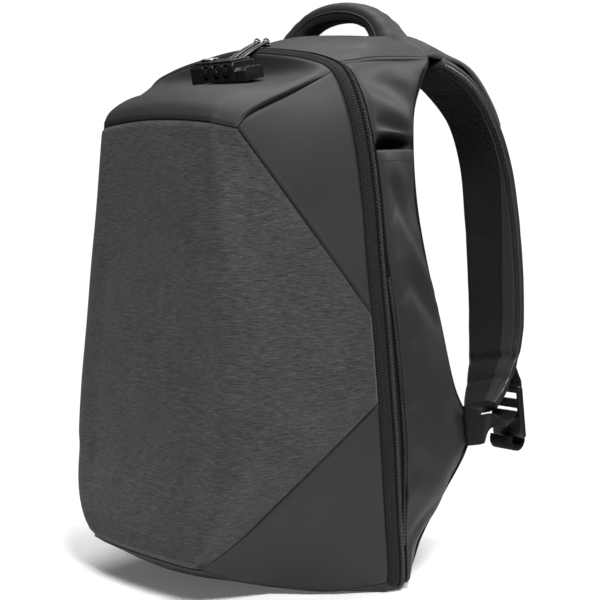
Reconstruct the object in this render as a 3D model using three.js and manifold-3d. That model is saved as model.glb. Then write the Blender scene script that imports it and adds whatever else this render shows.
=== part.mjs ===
// Anti-theft backpack: a faceted front shell, a zip round its edge, a soft rear body with side pockets,
// a padded back, two shoulder straps with ladder locks, a grab handle and a dial lock on the top slope.
// Millimetres, +Z up. The front faces -Y, the wearer's side +Y. The origin is on the base's flat face.
import * as THREE from "three";
import Module from "manifold-3d";
import { mergeVertices } from "three/addons/utils/BufferGeometryUtils.js";

const wasm = await Module();
wasm.setup();

// Bag body
const WIDTH = 304; // across the zip at its widest
const HEIGHT = 436; // floor to the zip at the top centre
const FRONT_REACH = 115; // origin to the front ridge
const BACK_REACH = 118; // origin to the lower back corner
const SEAM_GAP = 0.4; // clearance between sewn pieces
const BASE_GAP = 1; // and where the trim and sides end at the base
const SHELL_WALL = 4; // padded front panel
const COATED_WALL = 2.2; // coated cloth with its backing
const TRIM_WALL = 1.8; // binding, zip tape and gusset
const RIDGE_CROWN = 3; // bow of the front panel's middle facet
const TOP_EDGE_ARCH = 4; // rise of the front panel's top edge at its centre
const TOP_RISE = 7.5; // swell of the top panel and its corners over the straight line

// Zip
const BINDING_REACH = 12; // front seam to the zip's centre line
const BINDING_TUCK = 3; // how far the front seam lies inside the zip line
const ZIP_HALF = 3;
const ZIP_RIDGE = 1.2;
const GUSSET_MIN = 2.5;
const GUSSET_SWELL = 7; // extra width of the gusset beside the belly
const GUSSET_SINK = 1.5;

// Side pockets
const POCKET_DEPTH = 17; // recess behind the pocket panel
const POCKET_WALL = 1.6;
const POCKET_BULGE = 3;
const POCKET_INSET = 0.06; // share of the side's depth left free at each edge of the pocket

// Back
const PAD_THICKNESS = 11;
const PAD_RIM = 4;
const PAD_TUCK = 6; // how far the pad goes up behind the yoke's hem
const LOWER_BACK_WALL = 2.4;
const BACK_MARGIN = 2.6; // back's side edge, inside the rear edge
const YOKE_DROP = 22; // how far the yoke turns down over the back
const YOKE_TURN = 6; // how far its turned-down face stands behind the rear edge
const YOKE_CROWN = 5;

// Grab handle
const HANDLE_SPAN = 138;
const HANDLE_RISE = 30;
const HANDLE_WIDTH = 22;
const HANDLE_THICKNESS = 14;
const HANDLE_OVERHANG = 4; // handle's back, behind the rear edge

// Shoulder straps
const STRAP_WIDTH = 66;
const STRAP_THICKNESS = 12;
const STRAP_REACH = 102; // furthest stand-off behind the yoke's face

// Ladder locks and webbing
const WEBBING_WIDTH = 25;
const WEBBING_THICKNESS = 1.8;
const LADDER_WIDTH = 34;
const LADDER_LENGTH = 48;
const LADDER_THICKNESS = 6;
const LADDER_BAR = 5;
const LADDER_SLOT = 8;
const LADDER_LEAN = 8; // degrees from upright
const LADDER_STAND = 36; // ladder lock's centre, behind the strap's end
const LADDER_DROP = 6; // and below it
const TAIL_RADIUS = 9; // curl of the web's free tail
const TAIL_TURNS = 0.6;
const TAB_LENGTH = 36;
const TAB_OVERLAP = 20; // how far the tab lies on the bag's side
const TAB_REACH = 8; // and beyond its rear edge
const TAB_THICKNESS = 3;

// Dial lock
const LOCK_SHIFT = 4; // lock's middle, right of the bag's
const LOCK_LENGTH = 54;
const LOCK_WIDTH = 25;
const LOCK_HEIGHT = 14;
const LOCK_CHAMFER = 2.5;
const LOCK_LIFT = 1.5; // lock's underside over the panel at its middle
const DOCK_LENGTH = 14; // block that takes the pulls' ends
const DOCK_HEIGHT = 9;
const PLATE_THICKNESS = 1.4;
const PLATE_MARGIN = 2.5;
const DIAL_COUNT = 3;
const DIAL_PITCH = 13;
const DIAL_RADIUS = 5;
const DIAL_START = 19; // lock's end to the first dial
const DIAL_PROUD = 0.8; // dials beyond the lock's front face
const DIAL_WIDTH = 5;
const DIAL_TEETH = 10;
const DIAL_GRIP = 0.45;
const DIAL_CLEARANCE = 0.5;
const DIAL_AXLE_RADIUS = 1.5;
const DIAL_AXLE_CLEARANCE = 0.35;
const BARREL_RADIUS = 5;
const BARREL_WELL = BARREL_RADIUS + SEAM_GAP;
const BARREL_HEIGHT = 3.2;
const BARREL_START = 9; // lock's end to the key barrel
const BARREL_SET = 3; // barrel's place across the lock, up the slope
const KEYWAY_LENGTH = 5.6;
const KEYWAY_WIDTH = 1.3;
const KEYWAY_DEPTH = 2;
const PULL_WIDTH = 8;
const PULL_THICKNESS = 1.4;
const PULL_EYE = 2; // radius of the pull's hole
const PULL_PITCH = 12;
const PULL_TIP_START = -6; // first pull's tip along the lock
const PULL_SINK = 0.8; // tip below the lock's top
const PULL_BITE = 1.6; // tip's reach into the lock's notch
const SLIDER_START = 5; // first slider's place along the zip
const SLIDER_LENGTH = 7;
const SLIDER_WIDTH = 6;
const SLIDER_HEIGHT = 2.4;
const BAIL_WIRE = 1.3;
const BAIL_SPAN = 5.5;
const BAIL_RISE = 6.4;
const PULL_SEAT = 0.56; // pull's height under the bail, as a share of the bail's rise

const HALF_WIDTH = WIDTH / 2;
const V = (x, y, z) => new THREE.Vector3(x, y, z);
const lerp = (a, b, t) => a.clone().lerp(b, t);
const smooth = (t) => THREE.MathUtils.smoothstep(t, 0, 1);
const steps = (from, to, count) =>
  Array.from({ length: count + 1 }, (_, i) => from + ((to - from) * i) / count);
const named = (columns, rows) =>
  rows.map((row) => Object.fromEntries(columns.map((name, i) => [name, row[i]])));

// Stations round the bag's right half, from the middle of the base to the top centre.
// x is a share of half the width, y of the back reach and z of the height.
const STATIONS = named(
  ["zipX", "zipY", "zipZ", "rearX", "rearY", "rearZ"],
  [
    [0.0, 0.305, 0.0, 0.0, 0.63, 0.0],
    [0.46, 0.305, 0.0, 0.4, 0.63, 0.0],
    [0.84, 0.305, 0.0, 0.67, 0.62, 0.0],
    [0.93, 0.3, 0.012, 0.78, 0.64, 0.012],
    [0.955, 0.28, 0.05, 0.83, 0.69, 0.07],
    [0.97, 0.24, 0.115, 0.885, 0.82, 0.155],
    [0.99, 0.19, 0.2, 0.92, 0.97, 0.235],
    [1.0, 0.155, 0.285, 0.92, 1.0, 0.275],
    [1.0, 0.127, 0.357, 0.905, 0.86, 0.36],
    [0.988, 0.075, 0.516, 0.875, 0.745, 0.49],
    [0.97, 0.045, 0.62, 0.835, 0.66, 0.6],
    [0.953, 0.03, 0.71, 0.8, 0.605, 0.71],
    [0.922, -0.02, 0.835, 0.77, 0.605, 0.82],
    [0.87, -0.05, 0.905, 0.745, 0.65, 0.885],
    [0.78, -0.045, 0.948, 0.735, 0.74, 0.94],
    [0.625, -0.02, 0.971, 0.68, 0.88, 0.985],
    [0.33, 0.005, 0.99, 0.42, 0.925, 1.022],
    [0.0, 0.015, 1.0, 0.0, 0.93, 1.037],
  ],
);
const BASE_CORNER = 3; // the zip and its binding start here
const FRONT_LOW = 8; // the front panel meets the front seam from here
const FRONT_HIGH = 9; // up to here
const POCKET_LOW = 4.5;
const POCKET_MOUTH = 11.5;
const TOP_CORNER = 14; // the top panel's dart ends here
const YOKE_SEAM = 14.5;
const PAD_TOP = 14.3;
const PAD_BOW_START = 9; // the pad's middle starts to rise and lean from here
const WEB_CORNER = 7; // lower back corner, where the strap tab is sewn in
const TOP_CENTRE = STATIONS.length - 1;
const LAST = 2 * TOP_CENTRE;

const mirror = (p) => V(-p.x, p.y, p.z);
const bodyPoint = (x, y, z) => V(x * HALF_WIDTH, y * BACK_REACH, z * HEIGHT);
const frontPoint = ({ x, y, z }) => V(x * HALF_WIDTH, -y * FRONT_REACH, z * HEIGHT);

function loopCurve(side) {
  const right = STATIONS.map((s) => bodyPoint(s[side + "X"], s[side + "Y"], s[side + "Z"]));
  const left = right.slice(0, -1).reverse().map(mirror);
  return new THREE.CatmullRomCurve3([...right, ...left], false, "centripetal");
}
const zipCurve = loopCurve("zip");
const rearCurve = loopCurve("rear");
const zipAt = (k) => zipCurve.getPoint(k / LAST);
const rearAt = (k) => rearCurve.getPoint(k / LAST);

// Outward direction round the loop, seen from the front.
function outwardAt(k) {
  const step = 0.05;
  const along = zipAt(Math.min(k + step, LAST))
    .add(rearAt(Math.min(k + step, LAST)))
    .sub(zipAt(Math.max(k - step, 0)))
    .sub(rearAt(Math.max(k - step, 0)));
  return V(along.z, 0, -along.x).normalize();
}
const fromZip = (k, back, inward) => zipAt(k).add(V(0, back, 0)).addScaledVector(outwardAt(k), -inward);
const seamAt = (k) => fromZip(k, -BINDING_REACH, BINDING_TUCK);
const zipFrontAt = (k) => fromZip(k, -ZIP_HALF, 0);
const zipBackAt = (k) => fromZip(k, ZIP_HALF, 0);
const zipRidgeAt = (sign) => (k) => fromZip(k, (sign * ZIP_HALF) / 3, -ZIP_RIDGE);

function gussetWidth(k) {
  const side = k <= TOP_CENTRE ? k : LAST - k;
  const belly = smooth((side - 4) / 3) * (1 - smooth((side - 8) / 3));
  return GUSSET_MIN + GUSSET_SWELL * belly;
}
const sideFrontAt = (k) => fromZip(k, ZIP_HALF + gussetWidth(k), 0);

// A solid's outer faces are told from its inner ones by its signed volume.
function facingOut(geometry) {
  const p = geometry.attributes.position;
  const index = geometry.index.array;
  const [a, b, c] = [V(), V(), V()];
  let volume = 0;
  for (let i = 0; i < index.length; i += 3) {
    a.fromBufferAttribute(p, index[i]);
    b.fromBufferAttribute(p, index[i + 1]);
    c.fromBufferAttribute(p, index[i + 2]);
    volume += a.dot(b.cross(c));
  }
  for (let i = 0; volume < 0 && i < index.length; i += 3) {
    [index[i + 1], index[i + 2]] = [index[i + 2], index[i + 1]];
  }
  return geometry;
}

function merged(points, triangles) {
  const raw = new THREE.BufferGeometry();
  raw.setAttribute("position", new THREE.Float32BufferAttribute(points.flatMap((p) => p.toArray()), 3));
  raw.setIndex(triangles.flat());
  const joined = mergeVertices(raw, 1e-3);
  const kept = [];
  for (let i = 0; i < joined.index.count; i += 3) {
    const t = [0, 1, 2].map((n) => joined.index.array[i + n]);
    if (new Set(t).size === 3) kept.push(...t);
  }
  joined.setIndex(kept);
  return facingOut(joined);
}

// A closed solid between two matching grids of points, with a rim along the grid's open sides.
function slab(outer, inner, ring = false) {
  const rows = outer.length;
  const columns = outer[0].length;
  const across = ring ? columns : columns - 1;
  const id = (layer, i, j) => (layer * rows + i) * columns + (j % columns);
  const triangles = [];
  const quad = (a, b, c, d) => triangles.push([a, b, c], [a, c, d]);
  for (let i = 0; i < rows - 1; i++)
    for (let j = 0; j < across; j++) {
      quad(id(0, i, j), id(0, i, j + 1), id(0, i + 1, j + 1), id(0, i + 1, j));
      quad(id(1, i, j), id(1, i + 1, j), id(1, i + 1, j + 1), id(1, i, j + 1));
    }
  for (let j = 0; j < across; j++) {
    quad(id(0, 0, j), id(1, 0, j), id(1, 0, j + 1), id(0, 0, j + 1));
    quad(id(0, rows - 1, j), id(0, rows - 1, j + 1), id(1, rows - 1, j + 1), id(1, rows - 1, j));
  }
  if (!ring)
    for (let i = 0; i < rows - 1; i++) {
      quad(id(0, i, 0), id(0, i + 1, 0), id(1, i + 1, 0), id(1, i, 0));
      const last = columns - 1;
      quad(id(0, i, last), id(1, i, last), id(1, i + 1, last), id(0, i + 1, last));
    }
  return merged([...outer.flat(), ...inner.flat()], triangles);
}

// A tube's solid: each section is a ring of points, and both ends are capped.
function tube(sections) {
  const count = sections[0].length;
  const points = sections.flat();
  const triangles = [];
  for (let i = 0; i < sections.length - 1; i++)
    for (let j = 0; j < count; j++) {
      const [a, b] = [i * count + j, i * count + ((j + 1) % count)];
      triangles.push([a, b, b + count], [a, b + count, a + count]);
    }
  const end = (sections.length - 1) * count;
  for (let j = 1; j < count - 1; j++) triangles.push([0, j + 1, j], [end, end + j, end + j + 1]);
  return merged(points, triangles);
}

// The skin's panels share their edges. Each point's inward direction is the mean over all panels
// that meet there.
const skin = new Map();
const skinNormals = new Map();
const centreOfBag = V(0, 0, HEIGHT / 2);
const placeOf = (p) => p.toArray().map((n) => Math.round(n * 20)).join();

function addPanel(name, grid, wall, { twin = null, endGap = SEAM_GAP / 2 } = {}) {
  skin.set(name, { grid, wall, endGap });
  if (twin) skin.set(twin, { grid: grid.map((row) => row.map(mirror)), wall, endGap });
}

function gatherNormals(grid) {
  const faces = [];
  let side = 0;
  for (let i = 0; i < grid.length - 1; i++)
    for (let j = 0; j < grid[0].length - 1; j++) {
      const corners = [grid[i][j], grid[i][j + 1], grid[i + 1][j + 1], grid[i + 1][j]];
      const normal = corners[2].clone().sub(corners[0]).cross(corners[3].clone().sub(corners[1]));
      const middle = corners[0].clone().add(corners[2]).multiplyScalar(0.5);
      side += normal.dot(middle.sub(centreOfBag));
      faces.push({ corners, normal });
    }
  for (const { corners, normal } of faces)
    for (const place of new Set(corners.map(placeOf))) {
      const sum = skinNormals.get(place) ?? V();
      skinNormals.set(place, sum.addScaledVector(normal.clone().normalize(), Math.sign(side)));
    }
}

// Draws a grid's edges in by the seam's half gap, and keeps a collapsed row a single point.
function drawnIn(grid, endGap) {
  const half = SEAM_GAP / 2;
  const towards = (p, q, by) => {
    const step = q.clone().sub(p);
    if (step.length() < 1e-6) return p.clone();
    return p.clone().addScaledVector(step.normalize(), Math.min(by, p.distanceTo(q) / 4));
  };
  const wide = grid.map((row) => [
    towards(row[0], row[1], half),
    ...row.slice(1, -1),
    towards(row.at(-1), row.at(-2), half),
  ]);
  const edge = (row, next) => {
    const apex = row[0].distanceTo(row.at(-1)) < 1e-3;
    const middle = next[Math.floor(next.length / 2)];
    return row.map((p, j) => (apex ? towards(p, middle, 4 * half) : towards(p, next[j], endGap)));
  };
  return [edge(wide[0], wide[1]), ...wide.slice(1, -1), edge(wide.at(-1), wide.at(-2))];
}

function panelSolid(name) {
  const { grid, wall, endGap } = skin.get(name);
  const inwardOf = (p) => skinNormals.get(placeOf(p)).clone().normalize().negate();
  const inner = grid.map((row) => row.map((p) => p.clone().addScaledVector(inwardOf(p), wall)));
  return slab(drawnIn(grid, endGap), drawnIn(inner, endGap));
}

// Front shell's corners: x is a share of half the width, y of the front reach, z of the height.
const FACETS = {
  ridgeFoot: { x: 0.4, y: 0.983, z: 0.068 },
  ridgeBelly: { x: 0.605, y: 1.0, z: 0.232 },
  ridgeChest: { x: 0.54, y: 0.94, z: 0.55 },
  ridgeHead: { x: 0.454, y: 0.887, z: 0.853 },
  footCorner: { x: 0.474, y: 0.97, z: 0.071 },
  footBend: { x: 0.56, y: 0.75, z: 0.113 },
  headCorner: { x: 0.579, y: 0.783, z: 0.842 },
};
const ridge = new THREE.CatmullRomCurve3(
  [FACETS.ridgeFoot, FACETS.ridgeBelly, FACETS.ridgeChest, FACETS.ridgeHead].map(frontPoint),
);
const footCorner = frontPoint(FACETS.footCorner);
const footBend = frontPoint(FACETS.footBend);
const headCorner = frontPoint(FACETS.headCorner);

const PER_STATION = 2;
const LOW_STEPS = (FRONT_LOW - BASE_CORNER) * PER_STATION;
const SIDE_STEPS = (FRONT_HIGH - FRONT_LOW) * PER_STATION;
const HIGH_STEPS = (TOP_CORNER - FRONT_HIGH) * PER_STATION;
const RIDGE_AT_LOW = 0.38; // share of the ridge's length level with the lower side corner
const RIDGE_AT_HIGH = 0.6;
const FACET_STEPS = 3; // grid steps across each front facet
const BEND_SHARE = 0.16; // place of the foot bend along the lower edge

function lowEdgeAt(t) {
  return t < BEND_SHARE
    ? lerp(footCorner, footBend, t / BEND_SHARE)
    : lerp(footBend, seamAt(FRONT_LOW), (t - BEND_SHARE) / (1 - BEND_SHARE));
}

// The front panel's right edge and the ridge beside it, from the foot to the head.
const frontEdge = [
  ...steps(0, 1, LOW_STEPS).map((t) => ({ edge: lowEdgeAt(t), ridge: t * RIDGE_AT_LOW })),
  ...steps(0, 1, SIDE_STEPS)
    .slice(1)
    .map((t) => ({
      edge: seamAt(FRONT_LOW + t * (FRONT_HIGH - FRONT_LOW)),
      ridge: RIDGE_AT_LOW + t * (RIDGE_AT_HIGH - RIDGE_AT_LOW),
    })),
  ...steps(0, 1, HIGH_STEPS)
    .slice(1)
    .map((t) => ({
      edge: lerp(seamAt(FRONT_HIGH), headCorner, t),
      ridge: RIDGE_AT_HIGH + t * (1 - RIDGE_AT_HIGH),
    })),
];

function frontRow({ edge, ridge: share }, index) {
  const crease = ridge.getPoint(share);
  const arch = TOP_EDGE_ARCH * smooth((index - LOW_STEPS - SIDE_STEPS) / HIGH_STEPS);
  const inside = steps(0, 1, FACET_STEPS).map((s) =>
    V(crease.x * s, crease.y - RIDGE_CROWN * (1 - s * s), crease.z + arch * (1 - s * s)),
  );
  const outside = steps(0, 1, FACET_STEPS)
    .slice(1)
    .map((s) => lerp(crease, edge, s));
  return [...inside, ...outside];
}
const bothSides = (half) => [...half.slice(1).reverse().map(mirror), ...half];
const frontHalfRows = frontEdge.map(frontRow);
const frontRows = frontHalfRows.map(bothSides);

// Profile of the slope from the front panel's head to the zip: along is a share of its length,
// swell and dip of TOP_RISE. The dip is the lock's seat, in the middle only.
const TOP_PROFILE = named(
  ["along", "swell", "dip"],
  [
    [0.0, 0.0, 0.0],
    [0.13, 1.0, 0.0],
    [0.35, 0.95, 0.1],
    [0.58, 0.5, 1.15],
    [0.86, 0.1, 2.15],
    [1.0, 0.0, 0.0],
  ],
);
const DART_SWELL = 0.3; // share of the swell left at the dart
const RISE_DIRECTION = V(0, -0.45, 0.9).normalize();
const topSeam = steps(TOP_CORNER, LAST - TOP_CORNER, 2 * (TOP_CENTRE - TOP_CORNER) * PER_STATION)
  .map(seamAt)
  .reverse();
const slopePoint = (from, to, along, rise) =>
  lerp(from, to, along).addScaledVector(RISE_DIRECTION, TOP_RISE * rise);
const topRows = TOP_PROFILE.map(({ along, swell, dip }) =>
  frontRows.at(-1).map((from, j, row) => {
    const side = Math.abs((2 * j) / (row.length - 1) - 1);
    const rise = swell * (1 - (1 - DART_SWELL) * side ** 2) - dip * (1 - side ** 2) ** 2;
    return slopePoint(from, topSeam[j], along, rise);
  }),
);

const cornerTopRows = steps(0, HIGH_STEPS, HIGH_STEPS).map((i) => {
  const from = frontEdge[LOW_STEPS + SIDE_STEPS + i].edge;
  const to = seamAt(FRONT_HIGH + i / PER_STATION);
  const rise = DART_SWELL * (i / HIGH_STEPS) ** 2;
  return TOP_PROFILE.map(({ along, swell }) => slopePoint(from, to, along, swell * rise));
});

// Outline of the base's right half ahead of the zip: centreY and centreZ are its middle line's.
const BASE_EDGE = named(
  ["x", "y", "z", "centreY", "centreZ"],
  [
    [0.5, 0.76, 0.03, 0.93, 0.024],
    [0.53, 0.43, 0.007, 0.7, 0.0],
    [0.73, 0.12, 0.004, 0.2, 0.0],
  ],
);
const BASE_STEPS = 2 * FACET_STEPS;
const baseLine = [footCorner, ...BASE_EDGE.map(frontPoint), seamAt(BASE_CORNER)];
const cornerBottomRows = steps(0, LOW_STEPS, LOW_STEPS).map((i) => {
  const from = lowEdgeAt(1 - i / LOW_STEPS);
  const to = seamAt(FRONT_LOW - i / PER_STATION);
  const share = (i / LOW_STEPS) ** 3;
  return baseLine.map((low, j) => {
    const t = j / (baseLine.length - 1);
    const straight = lerp(footCorner, seamAt(BASE_CORNER), t);
    return lerp(from, to, t).addScaledVector(low.clone().sub(straight), share);
  });
});

const flatRow = (outline, centreY, centreZ) =>
  steps(0, 1, BASE_STEPS).map((s) =>
    V(outline.x * s, centreY + (outline.y - centreY) * s * s, s < 1 ? centreZ : outline.z),
  );
const loopRow = (at) =>
  steps(0, BASE_CORNER, BASE_STEPS).map((k) => (k < BASE_CORNER ? at(k).setZ(0) : at(BASE_CORNER)));
const baseHalfRows = [
  frontHalfRows[0],
  ...BASE_EDGE.map((row) => flatRow(frontPoint(row), -row.centreY * FRONT_REACH, row.centreZ * HEIGHT)),
  ...[seamAt, zipFrontAt, zipBackAt, sideFrontAt, rearAt].map(loopRow),
];

const stationRange = (from, to) => steps(from, to, Math.round((to - from) * PER_STATION));
const ringStations = stationRange(BASE_CORNER, LAST - BASE_CORNER);
const ringRows = (...ats) => ringStations.map((k) => ats.map((at) => at(k)));

const SIDE_SHARES = [0, POCKET_INSET, 0.28, 0.5, 0.72, 1 - POCKET_INSET, 1];
const hollowAt = (k) => smooth((k - POCKET_LOW) / 2) * (1 - smooth((k - POCKET_MOUTH - 0.25) / 1.5));
const sidePoint = (k, share, lift) =>
  lerp(sideFrontAt(k), rearAt(k), share).addScaledVector(outwardAt(k), lift);
const sideRows = stationRange(BASE_CORNER, YOKE_SEAM).map((k) =>
  SIDE_SHARES.map((s) => sidePoint(k, s, -POCKET_DEPTH * hollowAt(k) * Math.sin(Math.PI * s))),
);

const YOKE_SHARES = [0, 0.2, 0.45, 0.75, 1];
const yokeRows = stationRange(YOKE_SEAM, LAST - YOKE_SEAM).map((k) => [
  ...YOKE_SHARES.map((s) => {
    const fade = smooth(Math.min(k - YOKE_SEAM, LAST - YOKE_SEAM - k));
    return sidePoint(k, s, YOKE_CROWN * fade * Math.sin(Math.PI * s));
  }),
  rearAt(k).add(V(0, YOKE_TURN * 0.8, -YOKE_DROP * 0.3)),
  rearAt(k).add(V(0, YOKE_TURN, -YOKE_DROP)),
]);

addPanel("front_panel", frontRows, SHELL_WALL);
addPanel("top_panel", topRows, COATED_WALL);
addPanel("corner_top_right", cornerTopRows, COATED_WALL, { twin: "corner_top_left" });
addPanel("corner_bottom_right", cornerBottomRows, COATED_WALL, { twin: "corner_bottom_left" });
addPanel("base_panel", baseHalfRows.map(bothSides), COATED_WALL);
addPanel("zip_binding", ringRows(seamAt, zipFrontAt), TRIM_WALL, { endGap: BASE_GAP });
addPanel(
  "zip_main",
  ringRows(zipFrontAt, zipRidgeAt(-1), zipRidgeAt(1), zipBackAt),
  TRIM_WALL,
  { endGap: BASE_GAP },
);
addPanel(
  "zip_gusset",
  ringRows(zipBackAt, (k) => fromZip(k, ZIP_HALF + gussetWidth(k) / 2, GUSSET_SINK), sideFrontAt),
  TRIM_WALL,
  { endGap: BASE_GAP },
);
addPanel("side_panel_right", sideRows, COATED_WALL, { twin: "side_panel_left", endGap: BASE_GAP });
addPanel("yoke", yokeRows, COATED_WALL);
for (const { grid } of skin.values()) gatherNormals(grid);

// Side pocket: a panel over the hollow side, open at its mouth.
function pocketSolid() {
  const surface = (lift) =>
    stationRange(POCKET_LOW, POCKET_MOUTH).map((k) =>
      SIDE_SHARES.slice(1, -1).map((s) => {
        const bulge = POCKET_BULGE * hollowAt(k) * Math.sin(Math.PI * s);
        return sidePoint(k, s, SEAM_GAP + lift + bulge);
      }),
    );
  return slab(surface(POCKET_WALL), surface(0));
}

// The back closes the rear edge: a coated lower slope, and a thick pad above it that goes up behind
// the yoke's hem.
const acrossBack = steps(-1, 1, 12);
function backSolid(from, to, count, thicknessAt, shiftAt) {
  const surface = (thick) =>
    steps(from, to, count).map((k) =>
      acrossBack.map((s) => {
        const edge = rearAt(k);
        const along = (k - from) / (to - from);
        const stand = thick ? thicknessAt(s, along) : 0;
        return V((edge.x - BACK_MARGIN) * s, edge.y + SEAM_GAP + stand, edge.z).add(shiftAt(s, along, k));
      }),
    );
  return slab(surface(true), surface(false));
}

function lowerBackSolid() {
  const lift = rearAt(BASE_CORNER).z - SEAM_GAP;
  const shift = (s, along) => V(0, 0, -lift * (1 - along) ** 4 * (1 - s ** 8) - 1.5 * SEAM_GAP * along);
  return backSolid(BASE_CORNER, WEB_CORNER, 8, () => LOWER_BACK_WALL, shift);
}

function padSolid() {
  const top = rearAt(PAD_TOP);
  const centre = rearAt(TOP_CENTRE);
  const arch = centre.z - YOKE_DROP + PAD_TUCK - top.z;
  const bow = centre.y - PAD_RIM - top.y;
  const shift = (s, along, k) =>
    V(0, bow, arch).multiplyScalar(smooth((k - PAD_BOW_START) / (PAD_TOP - PAD_BOW_START)) * (1 - s * s));
  const thickness = (s, along) => {
    const rim = Math.min(1, (1 - Math.abs(s)) * 4, along * 8, (1 - along) * 8);
    return PAD_RIM + (PAD_THICKNESS - PAD_RIM) * Math.sin((Math.PI / 2) * rim);
  };
  return backSolid(WEB_CORNER, PAD_TOP, 16, thickness, shift);
}

// A padded bar along a route: each stop has its place, width and thickness, and the section is a
// flat octagon.
const OCTAGON = [
  [-1, -0.4],
  [-0.86, -1],
  [0.86, -1],
  [1, -0.4],
  [1, 0.4],
  [0.86, 1],
  [-0.86, 1],
  [-1, 0.4],
];
const RECTANGLE = [
  [-1, -1],
  [1, -1],
  [1, 1],
  [-1, 1],
];
function bar(stops, section) {
  return tube(
    stops.map(({ at, width, thickness, side }, i) => {
      const along = (stops[i + 1] ?? stops[i]).at.clone().sub((stops[i - 1] ?? stops[i]).at).normalize();
      const across = side.clone().addScaledVector(along, -side.dot(along)).normalize();
      const up = across.clone().cross(along);
      return section.map(([a, b]) =>
        at.clone().addScaledVector(across, (a * width) / 2).addScaledVector(up, (b * thickness) / 2),
      );
    }),
  );
}

function solidOf(geometry) {
  const bare = geometry.index ? geometry.toNonIndexed() : geometry.clone();
  bare.deleteAttribute("normal");
  bare.deleteAttribute("uv");
  const joined = mergeVertices(bare, 1e-3);
  const vertProperties = joined.attributes.position.array;
  const triVerts = new Uint32Array(joined.index.array);
  return new wasm.Manifold(new wasm.Mesh({ numProp: 3, vertProperties, triVerts }));
}
function geometryOf(solid) {
  const mesh = solid.getMesh();
  const geometry = new THREE.BufferGeometry();
  const points = new Float32Array(mesh.numVert * 3);
  for (let i = 0; i < mesh.numVert; i++)
    points.set(mesh.vertProperties.subarray(i * mesh.numProp, i * mesh.numProp + 3), i * 3);
  geometry.setAttribute("position", new THREE.BufferAttribute(points, 3));
  geometry.setIndex(new THREE.BufferAttribute(mesh.triVerts, 1));
  return geometry;
}
const cut = (body, ...tools) =>
  geometryOf(tools.reduce((rest, tool) => rest.subtract(solidOf(tool)), solidOf(body)));
const fuse = (...bodies) => geometryOf(bodies.map(solidOf).reduce((sum, body) => sum.add(body)));

// Cuts away what reaches past a panel's skin, with the seam's clearance.
function clearOf(geometry, rows, outward, depth) {
  const raised = rows.map((row) => row.map((p) => p.clone().addScaledVector(outward, 1.5 * SEAM_GAP)));
  const deep = raised.map((row) => row.map((p) => p.clone().addScaledVector(outward, -depth)));
  return cut(geometry, slab(raised, deep));
}
const nearest = (rows, x, y) =>
  rows.flat().reduce((best, p) => {
    const nearer = Math.hypot(p.x - x, p.y - y) < Math.hypot(best.x - x, best.y - y);
    return nearer ? p : best;
  });

const UP = V(0, 0, 1);
const BACKWARD = V(0, 1, 0);
const SIDEWAYS = V(1, 0, 0);
const yokeTop = yokeRows.map((row) => row.slice(0, YOKE_SHARES.length));
const yokeFace = yokeRows.map((row) => [
  ...row.slice(YOKE_SHARES.length - 1),
  row.at(-1).clone().add(V(0, 0, -2 * YOKE_DROP)),
]);

function handleSolid() {
  const foot = HANDLE_SPAN / 2;
  const y = rearAt(TOP_CENTRE).y + HANDLE_OVERHANG - HANDLE_WIDTH / 2;
  const seat = nearest(yokeTop, foot, y).z - HANDLE_THICKNESS;
  const peak = rearAt(TOP_CENTRE).z + HANDLE_RISE - HANDLE_THICKNESS / 2;
  const shoulder = seat + (peak - seat) * 0.8;
  const half = (sign) => [
    V(sign * foot, y, seat),
    V(sign * foot * 0.84, y, shoulder),
    V(sign * foot * 0.4, y, peak),
  ];
  const middle = V(0, y, peak);
  const route = new THREE.CurvePath();
  route.add(new THREE.CubicBezierCurve3(...half(-1), middle));
  route.add(new THREE.CubicBezierCurve3(middle, ...half(1).reverse()));
  const stops = steps(0, 1, 24).map((t) => ({
    at: route.getPoint(t),
    width: HANDLE_WIDTH,
    thickness: HANDLE_THICKNESS,
    side: BACKWARD,
  }));
  return clearOf(bar(stops, OCTAGON), yokeRows, UP, 3 * HANDLE_THICKNESS);
}

// Shoulder strap's route: x is a share of half the width, away of the strap's reach behind the yoke,
// z of the height.
const STRAP_STOPS = named(
  ["x", "away", "z", "width", "turn"],
  [
    [0.5, -0.12, 0.99, 0.93, 0.05],
    [0.51, 0.36, 0.945, 1.0, 0.15],
    [0.52, 0.7, 0.872, 1.0, 0.25],
    [0.53, 0.868, 0.785, 1.0, 0.2],
    [0.535, 0.956, 0.675, 1.0, 0.13],
    [0.545, 1.0, 0.55, 0.98, 0.08],
    [0.555, 1.0, 0.447, 0.94, 0.06],
    [0.58, 0.93, 0.383, 0.85, 0.1],
    [0.615, 0.78, 0.324, 0.66, 0.12],
    [0.655, 0.63, 0.292, 0.46, 0.12],
  ],
);
const yokeBack = rearAt(TOP_CENTRE).y + YOKE_TURN + SEAM_GAP;
const strapPoint = ({ x, away, z }) => V(x * HALF_WIDTH, yokeBack + away * STRAP_REACH, z * HEIGHT);
const strapRoute = new THREE.CatmullRomCurve3(STRAP_STOPS.map(strapPoint));
function strapSolid() {
  const last = STRAP_STOPS.length - 1;
  const stops = steps(0, last, 3 * last).map((k) => {
    const [a, b] = [STRAP_STOPS[Math.floor(k)], STRAP_STOPS[Math.min(Math.floor(k) + 1, last)]];
    const width = STRAP_WIDTH * (a.width + (b.width - a.width) * (k % 1));
    const side = V(1, -(a.turn + (b.turn - a.turn) * (k % 1)), 0);
    return { at: strapRoute.getPoint(k / last), width, thickness: STRAP_THICKNESS, side };
  });
  return clearOf(bar(stops, OCTAGON), yokeFace, BACKWARD, STRAP_REACH);
}

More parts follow.
